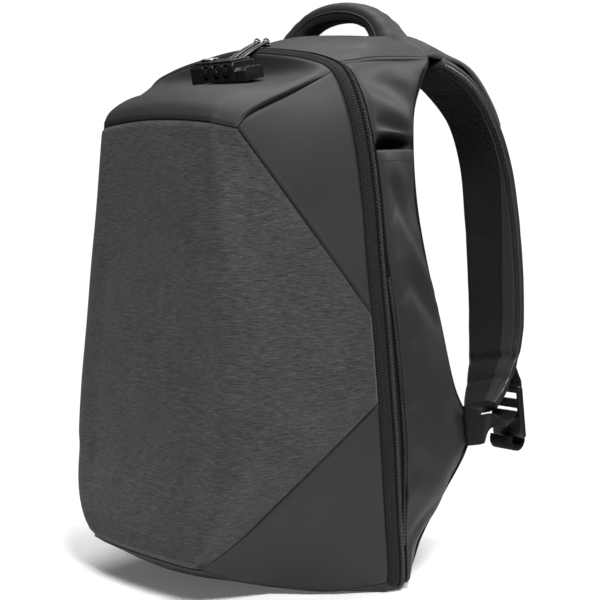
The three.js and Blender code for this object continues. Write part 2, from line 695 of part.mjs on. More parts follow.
// Ladder lock: a plate with two slots, leaning back from upright. Its places are given along it
// and off its plane.
const ladderLean = THREE.MathUtils.degToRad(LADDER_LEAN);
const ladderDown = V(0, Math.sin(ladderLean), -Math.cos(ladderLean));
const ladderOut = V(0, Math.cos(ladderLean), Math.sin(ladderLean));
const strapEnd = strapPoint(STRAP_STOPS.at(-1));
const ladderCentre = strapEnd.clone().add(V(0, LADDER_STAND, -LADDER_DROP));
const onLadder = (down, out) =>
  ladderCentre.clone().addScaledVector(ladderDown, down).addScaledVector(ladderOut, out);
const UPPER_SLOT = -(LADDER_LENGTH / 2 - LADDER_BAR - LADDER_SLOT / 2);
const LOWER_SLOT = UPPER_SLOT + LADDER_SLOT + 1.5 * LADDER_BAR;
function ladderSolid() {
  const plate = new THREE.BoxGeometry(LADDER_WIDTH, LADDER_THICKNESS, LADDER_LENGTH);
  const slot = (down) =>
    new THREE.BoxGeometry(WEBBING_WIDTH + 2, 3 * LADDER_THICKNESS, LADDER_SLOT)
      .translate(0, 0, -down);
  const bevel = new THREE.BoxGeometry(2 * LADDER_WIDTH, LADDER_THICKNESS, LADDER_THICKNESS)
    .rotateX(Math.PI / 4)
    .translate(0, LADDER_THICKNESS * 0.75, LADDER_LENGTH / 2);
  return cut(plate, slot(UPPER_SLOT), slot(LOWER_SLOT), bevel)
    .rotateX(ladderLean)
    .translate(...ladderCentre.toArray());
}

// Webbing through a list of places. Its width turns from the first direction to the second on the way.
function webbing(places, count, firstSide, lastSide, turnedBy) {
  const points = new THREE.CatmullRomCurve3(places, false, "centripetal").getSpacedPoints(count);
  const stops = points.map((at, i) => ({
    at,
    width: WEBBING_WIDTH,
    thickness: WEBBING_THICKNESS,
    side: lerp(firstSide, lastSide, smooth(i / (count * turnedBy))),
  }));
  return bar(stops, RECTANGLE);
}

// The adjusting web goes from the tab through the lower slot and down over the ladder lock's grip.
// It curls at its tail.
const webCorner = rearAt(WEB_CORNER);
const webFront = sideFrontAt(WEB_CORNER);
const tabSplay = Math.atan2(webFront.x - webCorner.x, webCorner.y - webFront.y);
const tabStand = 2 * SEAM_GAP + POCKET_WALL + POCKET_BULGE / 2;
const onTab = (out, back, up) => V(tabStand + out, back, up).applyAxisAngle(UP, tabSplay).add(webCorner);
function adjustWebSolid() {
  const clear = LADDER_THICKNESS / 2 + 1.5 * WEBBING_THICKNESS;
  const start = onTab(TAB_THICKNESS / 2, TAB_REACH + 1.5 * SEAM_GAP, 0);
  const end = LADDER_LENGTH / 2 + WEBBING_THICKNESS;
  const curl = steps(0, TAIL_TURNS, 8).map((turn) =>
    onLadder(
      end + Math.sin(turn * 2 * Math.PI) * TAIL_RADIUS,
      clear - TAIL_RADIUS + Math.cos(turn * 2 * Math.PI) * TAIL_RADIUS,
    ),
  );
  const through = onLadder(LOWER_SLOT, 0);
  const before = onLadder(LOWER_SLOT + LADDER_SLOT * 0.4, -clear - WEBBING_THICKNESS);
  const route = [
    start,
    onTab(TAB_THICKNESS / 2, 2 * TAB_REACH, 0),
    lerp(start, before, 0.6).add(V(0, 0, -WEBBING_THICKNESS)),
    before,
    through,
    onLadder(LOWER_SLOT + LADDER_SLOT * 0.9, clear),
    onLadder(end - LADDER_BAR, clear),
    ...curl,
  ];
  return webbing(route, 44, UP, SIDEWAYS, 0.3);
}

// The strap's own web goes from the strap's outer face to the ladder lock's upper slot.
function strapWebSolid() {
  const onStrap = (stop, lift) =>
    strapPoint(STRAP_STOPS.at(stop)).add(V(0, STRAP_THICKNESS / 2 + WEBBING_THICKNESS + lift, 0));
  const hooked = UPPER_SLOT - LADDER_SLOT / 2 + WEBBING_THICKNESS / 2 + SEAM_GAP;
  const route = [onStrap(-4, 2), onStrap(-3, 4), onLadder(hooked, LADDER_THICKNESS), onLadder(hooked, 0)];
  const side = V(1, -STRAP_STOPS.at(-4).turn, 0);
  return webbing(route, 12, side, SIDEWAYS, 1);
}

// Tab on the lower back corner that holds the web's end.
function tabSolid() {
  const shape = new THREE.Shape();
  shape.moveTo(-TAB_OVERLAP, -TAB_LENGTH * 0.3);
  shape.lineTo(TAB_REACH, -TAB_LENGTH * 0.35);
  shape.lineTo(TAB_REACH, TAB_LENGTH * 0.45);
  shape.lineTo(-TAB_OVERLAP, TAB_LENGTH * 0.65);
  const plate = new THREE.ExtrudeGeometry(shape, { depth: TAB_THICKNESS, bevelEnabled: false });
  const frame = new THREE.Matrix4().makeBasis(BACKWARD, UP, SIDEWAYS);
  return plate.applyMatrix4(frame).rotateZ(tabSplay).translate(...onTab(0, 0, 0).toArray());
}

// The dial lock lies on the top panel. Its own frame has X along the dials' axle, Y up the slope
// and Z off the panel.
const topSlope = topRows.map((row) => row[(row.length - 1) / 2]);
const seatFront = topSlope.at(-3);
const seatRear = topSlope.at(-2);
const lockPitch = Math.atan2(seatRear.z - seatFront.z, seatRear.y - seatFront.y);
const lockOut = V(0, -Math.sin(lockPitch), Math.cos(lockPitch));
const lockAlong = V(0, Math.cos(lockPitch), Math.sin(lockPitch));
const lockCentre = lerp(seatFront, seatRear, 0.5)
  .addScaledVector(lockOut, LOCK_HEIGHT / 2 + LOCK_LIFT)
  .add(V(LOCK_SHIFT, 0, 0));
const dialRow = V(-LOCK_LENGTH / 2 + DIAL_START, -LOCK_WIDTH / 2 + DIAL_RADIUS - DIAL_PROUD, 0);
const dialCentre = (i) => dialRow.clone().add(V(i * DIAL_PITCH, 0, 0));
const barrelPlace = V(-LOCK_LENGTH / 2 + BARREL_START, BARREL_SET, LOCK_HEIGHT / 2);
const extruded = (shape, depth, curveSegments) =>
  new THREE.ExtrudeGeometry(shape, { depth, bevelEnabled: false, curveSegments });
const rod = (radius, length, sides) =>
  new THREE.CylinderGeometry(radius, radius, length, sides).rotateZ(Math.PI / 2);
const inLockFrame = (geometry) => geometry.rotateX(lockPitch).translate(...lockCentre.toArray());

function chamferedBlock(length, width, height, chamfer) {
  const half = width / 2;
  const shape = new THREE.Shape();
  shape.moveTo(-half, -height / 2);
  shape.lineTo(half, -height / 2);
  shape.lineTo(half, height / 2 - chamfer);
  shape.lineTo(half - chamfer, height / 2);
  shape.lineTo(-half + chamfer, height / 2);
  shape.lineTo(-half, height / 2 - chamfer);
  const block = new THREE.ExtrudeGeometry(shape, { depth: length, bevelEnabled: false });
  const frame = new THREE.Matrix4().makeBasis(BACKWARD, UP, SIDEWAYS);
  return block.applyMatrix4(frame).translate(-length / 2, 0, 0);
}

const PULL_TIPS = [0, 1].map((i) =>
  V(PULL_TIP_START + i * PULL_PITCH, LOCK_WIDTH / 2, LOCK_HEIGHT / 2 - PULL_SINK),
);
function lockBodySolid() {
  const root = LOCK_HEIGHT; // reaches below the panel's skin, and is cut to it
  const body = chamferedBlock(LOCK_LENGTH, LOCK_WIDTH, LOCK_HEIGHT + root, LOCK_CHAMFER)
    .translate(0, 0, -root / 2);
  const dockDrop = LOCK_HEIGHT - DOCK_HEIGHT;
  const dock = chamferedBlock(DOCK_LENGTH, LOCK_WIDTH * 0.8, DOCK_HEIGHT + root, LOCK_CHAMFER).translate(
    (LOCK_LENGTH + DOCK_LENGTH) / 2 - LOCK_CHAMFER,
    0,
    -(root + dockDrop) / 2,
  );
  const windowSize = 2 * (DIAL_RADIUS + DIAL_CLEARANCE);
  const windows = steps(0, DIAL_COUNT - 1, DIAL_COUNT - 1).map((i) =>
    new THREE.BoxGeometry(DIAL_WIDTH + 2 * DIAL_CLEARANCE, windowSize + LOCK_CHAMFER, windowSize).translate(
      ...dialCentre(i).add(V(0, -LOCK_CHAMFER / 2, 0)).toArray(),
    ),
  );
  const axleLength = DIAL_COUNT * DIAL_PITCH;
  const axle = rod(DIAL_AXLE_RADIUS, axleLength, 12)
    .translate(...dialCentre((DIAL_COUNT - 1) / 2).toArray());
  const well = new THREE.CylinderGeometry(BARREL_WELL, BARREL_WELL, BARREL_HEIGHT, 20)
    .rotateX(Math.PI / 2)
    .translate(...barrelPlace.toArray());
  const notches = PULL_TIPS.map((tip) =>
    new THREE.BoxGeometry(PULL_WIDTH * 1.6, PULL_BITE * 4, PULL_THICKNESS * 4).translate(...tip.toArray()),
  );
  const shell = cut(fuse(body, dock), ...windows, well, ...notches);
  const placed = inLockFrame(fuse(shell, axle));
  return clearOf(placed, topRows, lockOut, 3 * LOCK_HEIGHT);
}

function lockPlateSolid() {
  const length = LOCK_LENGTH - 2 * PLATE_MARGIN;
  const width = LOCK_WIDTH - 2 * LOCK_CHAMFER;
  const plate = new THREE.BoxGeometry(length, width, PLATE_THICKNESS);
  plate.translate(0, 0, (LOCK_HEIGHT + PLATE_THICKNESS) / 2 + SEAM_GAP);
  const hole = new THREE.CylinderGeometry(BARREL_WELL, BARREL_WELL, LOCK_HEIGHT, 20)
    .rotateX(Math.PI / 2)
    .translate(...barrelPlace.toArray());
  const notches = PULL_TIPS.map((tip) =>
    new THREE.BoxGeometry(PULL_WIDTH * 1.6, PULL_BITE * 4, LOCK_HEIGHT).translate(...tip.toArray()),
  );
  return inLockFrame(cut(plate, hole, ...notches));
}

function dialSolid() {
  const shape = new THREE.Shape();
  steps(0, DIAL_TEETH * 4 - 1, DIAL_TEETH * 4 - 1).forEach((i) => {
    const angle = (i / (DIAL_TEETH * 4)) * 2 * Math.PI;
    const radius = i % 4 === 0 ? DIAL_RADIUS - DIAL_GRIP : DIAL_RADIUS;
    const [x, y] = [radius * Math.cos(angle), radius * Math.sin(angle)];
    if (i === 0) shape.moveTo(x, y);
    else shape.lineTo(x, y);
  });
  const bore = DIAL_AXLE_RADIUS + DIAL_AXLE_CLEARANCE;
  shape.holes.push(new THREE.Path().absarc(0, 0, bore, 0, 2 * Math.PI, true));
  const wheel = extruded(shape, DIAL_WIDTH, 8);
  return wheel.translate(0, 0, -DIAL_WIDTH / 2).rotateY(Math.PI / 2);
}

function barrelSolid() {
  const height = BARREL_HEIGHT / 2 + PLATE_THICKNESS + SEAM_GAP;
  const barrel = new THREE.CylinderGeometry(BARREL_RADIUS, BARREL_RADIUS, height, 20)
    .rotateX(Math.PI / 2)
    .translate(0, 0, height / 2 - BARREL_HEIGHT / 2 + SEAM_GAP);
  const top = height - BARREL_HEIGHT / 2 + SEAM_GAP;
  const keyway = new THREE.BoxGeometry(KEYWAY_LENGTH, KEYWAY_WIDTH, 2 * KEYWAY_DEPTH).translate(0, 0, top);
  return cut(barrel, keyway);
}

// Zip sliders stand on the zip beside the lock, and their pulls lean down into the lock's notches.
const zipTopAt = (x) => {
  const share = steps(TOP_CENTRE - 2, TOP_CENTRE, 80).reduce((best, k) =>
    Math.abs(zipAt(k).x - x) < Math.abs(zipAt(best).x - x) ? k : best,
  );
  return zipAt(share).add(V(0, 0, ZIP_RIDGE + SEAM_GAP));
};
const fromLock = (place) =>
  lockCentre
    .clone()
    .add(V(place.x, 0, 0))
    .addScaledVector(lockAlong, place.y)
    .addScaledVector(lockOut, place.z);
const sliderPlace = (i) => zipTopAt(SLIDER_START + i * PULL_PITCH);
const pullRoot = (i) => sliderPlace(i).add(V(0, 0, SLIDER_HEIGHT + BAIL_RISE * PULL_SEAT));
const pullTip = (i) => fromLock(PULL_TIPS[i]);
function pullFrame(i) {
  const along = pullTip(i).sub(pullRoot(i)).normalize();
  const out = UP.clone().addScaledVector(along, -along.z).normalize();
  const frame = new THREE.Matrix4().makeBasis(along, out.clone().cross(along), out);
  return frame.setPosition(pullRoot(i));
}

function pullSolid(i) {
  const length = pullTip(i).distanceTo(pullRoot(i));
  const slant = Math.hypot(...pullTip(i).sub(pullRoot(i)).normalize().toArray().slice(0, 2));
  const rim = (BAIL_SPAN / 2 - BAIL_WIRE / 2 - SEAM_GAP) / slant;
  const shape = new THREE.Shape();
  shape.moveTo(-rim, -PULL_WIDTH * 0.35);
  shape.lineTo(PULL_WIDTH * 0.4, -PULL_WIDTH / 2);
  shape.lineTo(length, -PULL_WIDTH * 0.4);
  shape.lineTo(length, PULL_WIDTH * 0.4);
  shape.lineTo(PULL_WIDTH * 0.4, PULL_WIDTH / 2);
  shape.lineTo(-rim, PULL_WIDTH * 0.35);
  const eye = BAIL_SPAN / 2 / slant;
  shape.holes.push(new THREE.Path().absarc(eye, 0, PULL_EYE, 0, 2 * Math.PI, true));
  const plate = extruded(shape, PULL_THICKNESS, 6);
  return plate.translate(0, 0, -PULL_THICKNESS / 2).applyMatrix4(pullFrame(i));
}

function sliderSolid(i) {
  const body = new THREE.BoxGeometry(SLIDER_LENGTH, SLIDER_WIDTH, SLIDER_HEIGHT)
    .translate(0, 0, SLIDER_HEIGHT / 2);
  const legs = [-1, 1].map((sign) =>
    new THREE.BoxGeometry(BAIL_WIRE, BAIL_WIRE, BAIL_RISE + 1)
      .translate((sign * BAIL_SPAN) / 2, 0, BAIL_RISE / 2),
  );
  const top = new THREE.BoxGeometry(BAIL_SPAN + BAIL_WIRE, BAIL_WIRE, BAIL_WIRE).translate(0, 0, BAIL_RISE);
  const towards = pullTip(i).sub(pullRoot(i));
  const bail = fuse(...legs, top).rotateZ(Math.atan2(towards.y, towards.x)).translate(0, 0, SLIDER_HEIGHT);
  return fuse(body, bail).translate(...sliderPlace(i).toArray());
}

const finish = (color, roughness, metalness) =>
  new THREE.MeshStandardMaterial({ color, roughness, metalness });
const FINISHES = {
  heather: finish(0x3b3d42, 0.95, 0),
  coated: finish(0x4a4a4d, 0.45, 0),
  woven: finish(0x55575b, 0.9, 0),
  mesh: finish(0x17181a, 0.95, 0),
  plastic: finish(0x151517, 0.4, 0),
  lockBlack: finish(0x1c1c1f, 0.35, 0.6),
  steel: finish(0x8d8f93, 0.3, 0.9),
};
const bag = new THREE.Group();
function addMesh(name, geometry, material, parent = bag) {
  const mesh = new THREE.Mesh(geometry, FINISHES[material]);
  mesh.name = name;
  parent.add(mesh);
  return mesh;
}
function addPair(name, geometry, material) {
  addMesh(name + "_right", geometry, material);
  addMesh(name + "_left", geometry, material).scale.x = -1;
}

const SKIN_FINISHES = {
  front_panel: "heather",
  zip_binding: "woven",
  zip_main: "plastic",
  zip_gusset: "plastic",
};
for (const name of skin.keys()) addMesh(name, panelSolid(name), SKIN_FINISHES[name] ?? "coated");
addPair("side_pocket", pocketSolid(), "coated");
addMesh("lower_back", lowerBackSolid(), "coated");
addMesh("back_pad", padSolid(), "mesh");
addMesh("handle", handleSolid(), "coated");
addPair("strap", strapSolid(), "mesh");
addPair("ladder_lock", ladderSolid(), "plastic");
addPair("adjust_web", adjustWebSolid(), "woven");
addPair("strap_web", strapWebSolid(), "woven");
addPair("strap_tab", tabSolid(), "coated");

addMesh("lock_body", lockBodySolid(), "lockBlack");
addMesh("lock_plate", lockPlateSolid(), "steel");
["left", "right"].forEach((side, i) => {
  addMesh("zip_slider_" + side, sliderSolid(i), "lockBlack");
  addMesh("zip_pull_" + side, pullSolid(i), "lockBlack");
});
const lockGroup = new THREE.Group();
lockGroup.position.copy(lockCentre);
lockGroup.rotation.x = lockPitch;
bag.add(lockGroup);
for (let i = 0; i < DIAL_COUNT; i++)
  addMesh("dial_" + (i + 1), dialSolid(), "lockBlack", lockGroup).position.copy(dialCentre(i));
addMesh("key_barrel", barrelSolid(), "steel", lockGroup).position.copy(barrelPlace);

export default bag;
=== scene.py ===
"""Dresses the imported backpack: sewn panels, zips, padding, straps, lock, materials, light and camera.

Lengths in the tables and functions are millimetres, as in the CAD model; meshes are made in metres.
"""

import math

import bmesh
import bpy
import numpy as np
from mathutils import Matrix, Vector


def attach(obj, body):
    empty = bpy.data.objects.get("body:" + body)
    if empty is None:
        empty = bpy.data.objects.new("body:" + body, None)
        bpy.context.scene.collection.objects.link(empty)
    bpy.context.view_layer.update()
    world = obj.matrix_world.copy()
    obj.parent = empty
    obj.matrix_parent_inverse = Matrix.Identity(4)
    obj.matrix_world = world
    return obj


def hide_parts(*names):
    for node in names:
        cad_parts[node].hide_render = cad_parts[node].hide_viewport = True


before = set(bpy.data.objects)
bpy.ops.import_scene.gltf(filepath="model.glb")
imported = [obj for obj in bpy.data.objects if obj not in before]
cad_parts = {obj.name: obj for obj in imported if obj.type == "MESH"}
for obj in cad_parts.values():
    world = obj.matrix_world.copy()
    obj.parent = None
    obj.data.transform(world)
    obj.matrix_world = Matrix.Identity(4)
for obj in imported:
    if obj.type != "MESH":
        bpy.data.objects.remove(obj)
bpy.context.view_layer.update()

MM = 0.001
HALF_WIDTH = 152
HEIGHT = 436
FRONT_REACH = 115
BACK_REACH = 118
BINDING_REACH = 12
BINDING_TUCK = 3
ZIP_HALF = 3
GUSSET_MIN = 2.5
GUSSET_SWELL = 7
GUSSET_SINK = 1.5
TOP_RISE = 7.5
TOP_EDGE_ARCH = 4
RIDGE_CROWN = 3
RIDGE_FILL = 6  # further bow of the middle facet at half height
RIDGE_BOW = 6.5  # fullness of the ridges just above the foot, outwards and forwards
POCKET_DEPTH = 17
POCKET_WALL = 1.6
POCKET_BULGE = 3
SEAM_GAP = 0.4
YOKE_DROP = 22
YOKE_TURN = 6
YOKE_CROWN = 5
BACK_MARGIN = 2.6
PAD_THICKNESS = 11
PAD_RIM = 4
PAD_TUCK = 6
HANDLE_SPAN = 138
HANDLE_RISE = 30
HANDLE_WIDTH = 22
HANDLE_THICKNESS = 14
HANDLE_OVERHANG = 4
HANDLE_FLARE = 10  # further width at the handle's feet
STRAP_WIDTH = 66
STRAP_THICKNESS = 12
STRAP_REACH = 102

# Stations round the bag's right half, from the middle of the base to the top centre:
# zip line and rear edge, as shares of half the width, the back reach and the height.
STATIONS = np.array(
    [
        (0.0, 0.305, 0.0, 0.0, 0.63, 0.0),
        (0.46, 0.305, 0.0, 0.4, 0.63, 0.0),
        (0.84, 0.305, 0.0, 0.67, 0.62, 0.0),
        (0.93, 0.3, 0.012, 0.78, 0.58, 0.018),
        (0.955, 0.28, 0.05, 0.83, 0.62, 0.078),
        (0.97, 0.24, 0.115, 0.885, 0.765, 0.158),
        (0.99, 0.19, 0.2, 0.92, 0.945, 0.235),
        (1.0, 0.155, 0.285, 0.92, 1.0, 0.275),
        (1.0, 0.127, 0.357, 0.905, 0.86, 0.36),
        (0.988, 0.075, 0.516, 0.875, 0.745, 0.49),
        (0.97, 0.045, 0.62, 0.835, 0.66, 0.6),
        (0.953, 0.03, 0.71, 0.8, 0.605, 0.71),
        (0.922, -0.02, 0.835, 0.77, 0.605, 0.82),
        (0.87, -0.05, 0.905, 0.745, 0.65, 0.885),
        (0.78, -0.045, 0.948, 0.735, 0.74, 0.94),
        (0.625, -0.02, 0.971, 0.68, 0.88, 0.985),
        (0.33, 0.005, 0.99, 0.42, 0.925, 1.022),
        (0.0, 0.015, 1.0, 0.0, 0.93, 1.037),
    ]
)
BASE_CORNER = 3
FRONT_LOW = 8
FRONT_HIGH = 9
POCKET_LOW = 4.5
STRIP_START = 2.4  # the zip's strips end under the base
MOUTH_AT = 11.74  # the pocket's top edge
MOUTH_RAKE = 0.14  # how much higher the mouth is at the back
YOKE_RAKE = 0.45  # how much higher the yoke's side seam ends at the back
TOP_CORNER = 14
YOKE_SEAM = 14.5
PAD_TOP = 14.3
WEB_CORNER = 7
TOP_CENTRE = len(STATIONS) - 1
LAST = 2 * TOP_CENTRE

MIRROR = np.array([-1, 1, 1])
UP = np.array([0.0, 0, 1])
BACKWARD = np.array([0.0, 1, 0])
SIDEWAYS = np.array([1.0, 0, 0])
SIDES = (("right", MIRROR**2), ("left", MIRROR))


def smooth(t):
    t = np.clip(t, 0, 1)
    return t * t * (3 - 2 * t)


def unit(v):
    v = np.asarray(v, float)
    return v / np.maximum(np.linalg.norm(v, axis=-1, keepdims=True), 1e-9)


def through(points, k):
    """A centripetal curve through points, at places k counted in points."""
    p = np.asarray(points, float)
    k = np.atleast_1d(np.asarray(k, float))
    padded = np.vstack([2 * p[0] - p[1], p, 2 * p[-1] - p[-2]])
    i = np.clip(np.floor(k).astype(int), 0, len(p) - 2)
    w = (k - i)[:, None]
    a, b, c, d = padded[i], padded[i + 1], padded[i + 2], padded[i + 3]
    spans = [np.sum((u - v) ** 2, axis=1, keepdims=True) ** 0.25 for u, v in ((a, b), (b, c), (c, d))]
    before, here, after = spans
    here = np.where(here < 1e-4, 1, here)
    before = np.where(before < 1e-4, here, before)
    after = np.where(after < 1e-4, here, after)
    start = here * ((b - a) / before - (c - a) / (before + here) + (c - b) / here)
    end = here * ((c - b) / here - (d - b) / (here + after) + (d - c) / after)
    return b + start * w + (3 * (c - b) - 2 * start - end) * w**2 + (2 * (b - c) + start + end) * w**3


def loop(columns):
    right = STATIONS[:, columns] * [HALF_WIDTH, BACK_REACH, HEIGHT]
    return np.vstack([right, right[:-1][::-1] * MIRROR])


ZIP_LOOP = loop([0, 1, 2])
REAR_LOOP = loop([3, 4, 5])


def zip_at(k):
    return through(ZIP_LOOP, k)


def rear_at(k):
    return through(REAR_LOOP, k)


def outward_at(k):
    """Outward direction round the loop, seen from the front."""
    k = np.atleast_1d(k)
    ahead, behind = np.minimum(k + 0.05, LAST), np.maximum(k - 0.05, 0)
    along = zip_at(ahead) + rear_at(ahead) - zip_at(behind) - rear_at(behind)
    return unit(np.stack([along[:, 2], 0 * along[:, 0], -along[:, 0]], axis=1))


def from_zip(k, back, inward):
    back, inward = np.broadcast_arrays(np.atleast_1d(back), np.atleast_1d(inward))
    return zip_at(k) + BACKWARD * back[:, None] - outward_at(k) * inward[:, None]


def seam_at(k):
    return from_zip(k, -BINDING_REACH, BINDING_TUCK)


def gusset_width(k):
    k = np.atleast_1d(k)
    side = np.where(k <= TOP_CENTRE, k, LAST - k)
    return GUSSET_MIN + GUSSET_SWELL * smooth((side - 4) / 3) * (1 - smooth((side - 8) / 3))


def zip_front_at(k):
    return from_zip(k, -ZIP_HALF, 0)


def zip_rear_at(k):
    return from_zip(k, ZIP_HALF, 0)


def side_front_at(k):
    return from_zip(k, ZIP_HALF + gusset_width(k), 0)


def refine_axis(grid, count, keep_corners):
    """Resamples a grid along its first axis on smooth curves; a sharp corner can stay sharp."""
    grid = np.asarray(grid, float)
    step = np.diff(grid, axis=0)
    ahead = np.concatenate([step, step[-1:]])
    behind = np.concatenate([step[:1], step])
    long_ahead = np.linalg.norm(ahead, axis=-1, keepdims=True)
    long_behind = np.linalg.norm(behind, axis=-1, keepdims=True)
    mean = (ahead + behind) / 2
    size = np.maximum(np.linalg.norm(mean, axis=-1, keepdims=True), 1e-9)
    leave = mean * np.minimum(1, 1.25 * long_ahead / size)
    arrive = mean * np.minimum(1, 1.25 * long_behind / size)
    if keep_corners:
        turn = np.sum(ahead * behind, axis=-1, keepdims=True)
        sharp = turn < 0.95 * long_ahead * long_behind
        leave = np.where(sharp, ahead, leave)
        arrive = np.where(sharp, behind, arrive)
    t = np.linspace(0, len(grid) - 1, count)
    i = np.minimum(t.astype(int), len(grid) - 2)
    w = (t - i).reshape(-1, *[1] * (grid.ndim - 1))
    a, b, m, n = grid[i], grid[i + 1], leave[i], arrive[i + 1]
    return a + m * w + (3 * (b - a) - 2 * m - n) * w**2 + (2 * (a - b) + m + n) * w**3


def refine(grid, rows, columns, keep_rows=True, keep_columns=False):
    tall = refine_axis(grid, rows, keep_rows)
    wide = refine_axis(np.swapaxes(tall, 0, 1), columns, keep_columns)
    return np.swapaxes(wide, 0, 1)


def core_direction(points):
    """Towards the bag's inside; the same for every panel that shares a place."""
    core = np.stack(
        [points[..., 0] * 0.45, 0 * points[..., 1] + 20, np.clip(points[..., 2], 110, 330)], axis=-1
    )
    return unit(core - points)


def grid_normals(grid):
    """Outward normals of a grid of points round the bag."""
    normal = unit(np.cross(np.gradient(grid, axis=0), np.gradient(grid, axis=1)))
    facing = np.sum(normal * core_direction(grid))
    return -normal if facing > 0 else normal


def edge_distances(grid):
    """Distance of each point along the grid's lines to its four edges: top, bottom, left, right."""
    down = np.linalg.norm(np.diff(grid, axis=0), axis=-1)
    across = np.linalg.norm(np.diff(grid, axis=1), axis=-1)
    from_top = np.vstack([np.zeros(grid.shape[1]), np.cumsum(down, axis=0)])
    from_left = np.hstack([np.zeros((grid.shape[0], 1)), np.cumsum(across, axis=1)])
    return from_top, from_top[-1:] - from_top, from_left, from_left[:, -1:] - from_left


def border(grid):
    """Marks a grid's outermost points."""
    marked = np.zeros(grid.shape[:2], bool)
    marked[:, [0, -1]] = True
    marked[[0, -1]] = True
    return marked


def fold(points, start, end, width, height):
    """Height of a soft ridge or valley along a straight stretch, faded at its ends."""
    start, end = np.asarray(start, float), np.asarray(end, float)
    line = end - start
    t = np.clip((points - start) @ line / (line @ line), 0, 1)
    gap = np.linalg.norm(points - (start + t[..., None] * line), axis=-1)
    taper = np.sqrt(np.clip(4 * t * (1 - t), 0, 1))
    return height * np.exp(-((gap / width) ** 2)) * taper


def placed(name, data):
    made = bpy.data.objects.new(name, data)
    bpy.context.scene.collection.objects.link(made)
    return made


def shade_smooth(mesh):
    for polygon in mesh.polygons:
        polygon.use_smooth = True


def to_mesh(name, vertices, faces, uv=None):
    mesh = bpy.data.meshes.new(name)
    mesh.from_pydata((np.asarray(vertices, float) * MM).tolist(), [], [list(f) for f in faces])
    mesh.validate()
    if uv is not None:
        layer = mesh.uv_layers.new(name="cloth")
        index = np.zeros(len(mesh.loops), int)
        mesh.loops.foreach_get("vertex_index", index)
        layer.data.foreach_set("uv", (np.asarray(uv, float) * MM)[index].ravel())
    shade_smooth(mesh)
    return placed(name, mesh)


def grid_faces(rows, columns, ring=False):
    across = columns if ring else columns - 1
    i, j = np.meshgrid(np.arange(rows - 1), np.arange(across), indexing="ij")
    near, far = i * columns + j, i * columns + (j + 1) % columns
    return np.stack([near, far, far + columns, near + columns], axis=-1).reshape(-1, 4)


def softened(field, passes):
    """Evens out a field of moves, with its borders held."""
    for _ in range(passes):
        field[1:-1] = (field[:-2] + 2 * field[1:-1] + field[2:]) / 4
        field[:, 1:-1] = (field[:, :-2] + 2 * field[:, 1:-1] + field[:, 2:]) / 4
    return field


CLOTH_STEPS, CLOTH_PASSES = 18, 10  # steps of the simulation, and of the smoothing after it
CLOTH = {
    "vertex_group_mass": "held",
    "quality": 6,
    "mass": 0.15,
    "tension_stiffness": 20,
    "compression_stiffness": 20,
    "shear_stiffness": 8,
    "bending_stiffness": 12,
    "air_damping": 2,
}


def slackened(grid, shape, slack, cap=5.0):
    """Lets a sheet of cloth, a little larger than its seams allow, buckle in a cloth simulation.

    The moves stay below a cap, in millimetres.
    """
    start = grid + grid_normals(grid) * shape(grid)[..., None]
    made = to_mesh("slack_cloth", start.reshape(-1, 3), grid_faces(*grid.shape[:2]))
    group = made.vertex_groups.new(name="held")
    group.add(np.flatnonzero(border(grid)).tolist(), 1.0, "REPLACE")
    cloth = made.modifiers.new("cloth", "CLOTH")
    for key, value in {**CLOTH, "shrink_min": -slack, "shrink_max": -slack}.items():
        setattr(cloth.settings, key, value)
    cloth.settings.effector_weights.gravity = 0
    cloth.collision_settings.use_collision = False
    scene = bpy.context.scene
    for step in range(1, CLOTH_STEPS + 1):
        scene.frame_set(step)
    cooked = made.evaluated_get(bpy.context.evaluated_depsgraph_get()).to_mesh()
    places = np.zeros(3 * len(cooked.vertices))
    cooked.vertices.foreach_get("co", places)
    move = softened(places.reshape(grid.shape) / MM - start, CLOTH_PASSES)
    far = np.linalg.norm(move, axis=-1, keepdims=True)
    move *= np.tanh(far / cap) * cap / np.maximum(far, 1e-6)
    scene.frame_set(1)
    bpy.data.objects.remove(made)
    return start + move


def cloth_uv(grid):
    """Arc lengths in millimetres along and across a grid."""
    from_top, _, from_left, from_right = edge_distances(grid)
    centre = (from_left + from_right)[:, :1] / 2
    return np.stack([from_left - centre, from_top], axis=-1)


TUCKS = (  # each side of a padded grid and the line of points next to it
    (np.s_[:, 1], np.s_[:, 2]),
    (np.s_[:, -2], np.s_[:, -3]),
    (np.s_[1], np.s_[2]),
    (np.s_[-2], np.s_[-3]),
)


def panel(name, grid, dip=1.2, dip_width=6, rim=4, draw=0.3, shape=None):
    """A sewn panel: its edges sink into the seams and turn in, and shape(points) adds its folds."""
    rise = shape(grid) if shape else np.zeros(grid.shape[:2])
    nearest = np.min(edge_distances(grid), axis=0)
    rise = rise * smooth(nearest / (2 * dip_width))
    sink = dip * (1 - smooth(nearest / dip_width)) ** 1.5
    skin = grid + grid_normals(grid) * rise[..., None] + core_direction(grid) * sink[..., None]
    one_more = ((1, 1), (1, 1), (0, 0))
    tucked = np.pad(skin, one_more, mode="edge")
    for edge, inner in TUCKS:
        tucked[edge] += unit(tucked[inner] - tucked[edge]) * draw
    tucked[:, 0], tucked[:, -1] = tucked[:, 1], tucked[:, -2]
    tucked[0], tucked[-1] = tucked[1], tucked[-2]
    turned = border(tucked)
    tucked[turned] += core_direction(tucked[turned]) * rim
    uv = np.pad(cloth_uv(grid), one_more, mode="edge")
    faces = grid_faces(*tucked.shape[:2])
    return to_mesh(name + "_cloth", tucked.reshape(-1, 3), faces, uv.reshape(-1, 2)), skin


# Front shell, as in the CAD model but with fuller ridges above the foot.
def front_point(x, y, z):
    return np.array([x * HALF_WIDTH, -y * FRONT_REACH, z * HEIGHT])


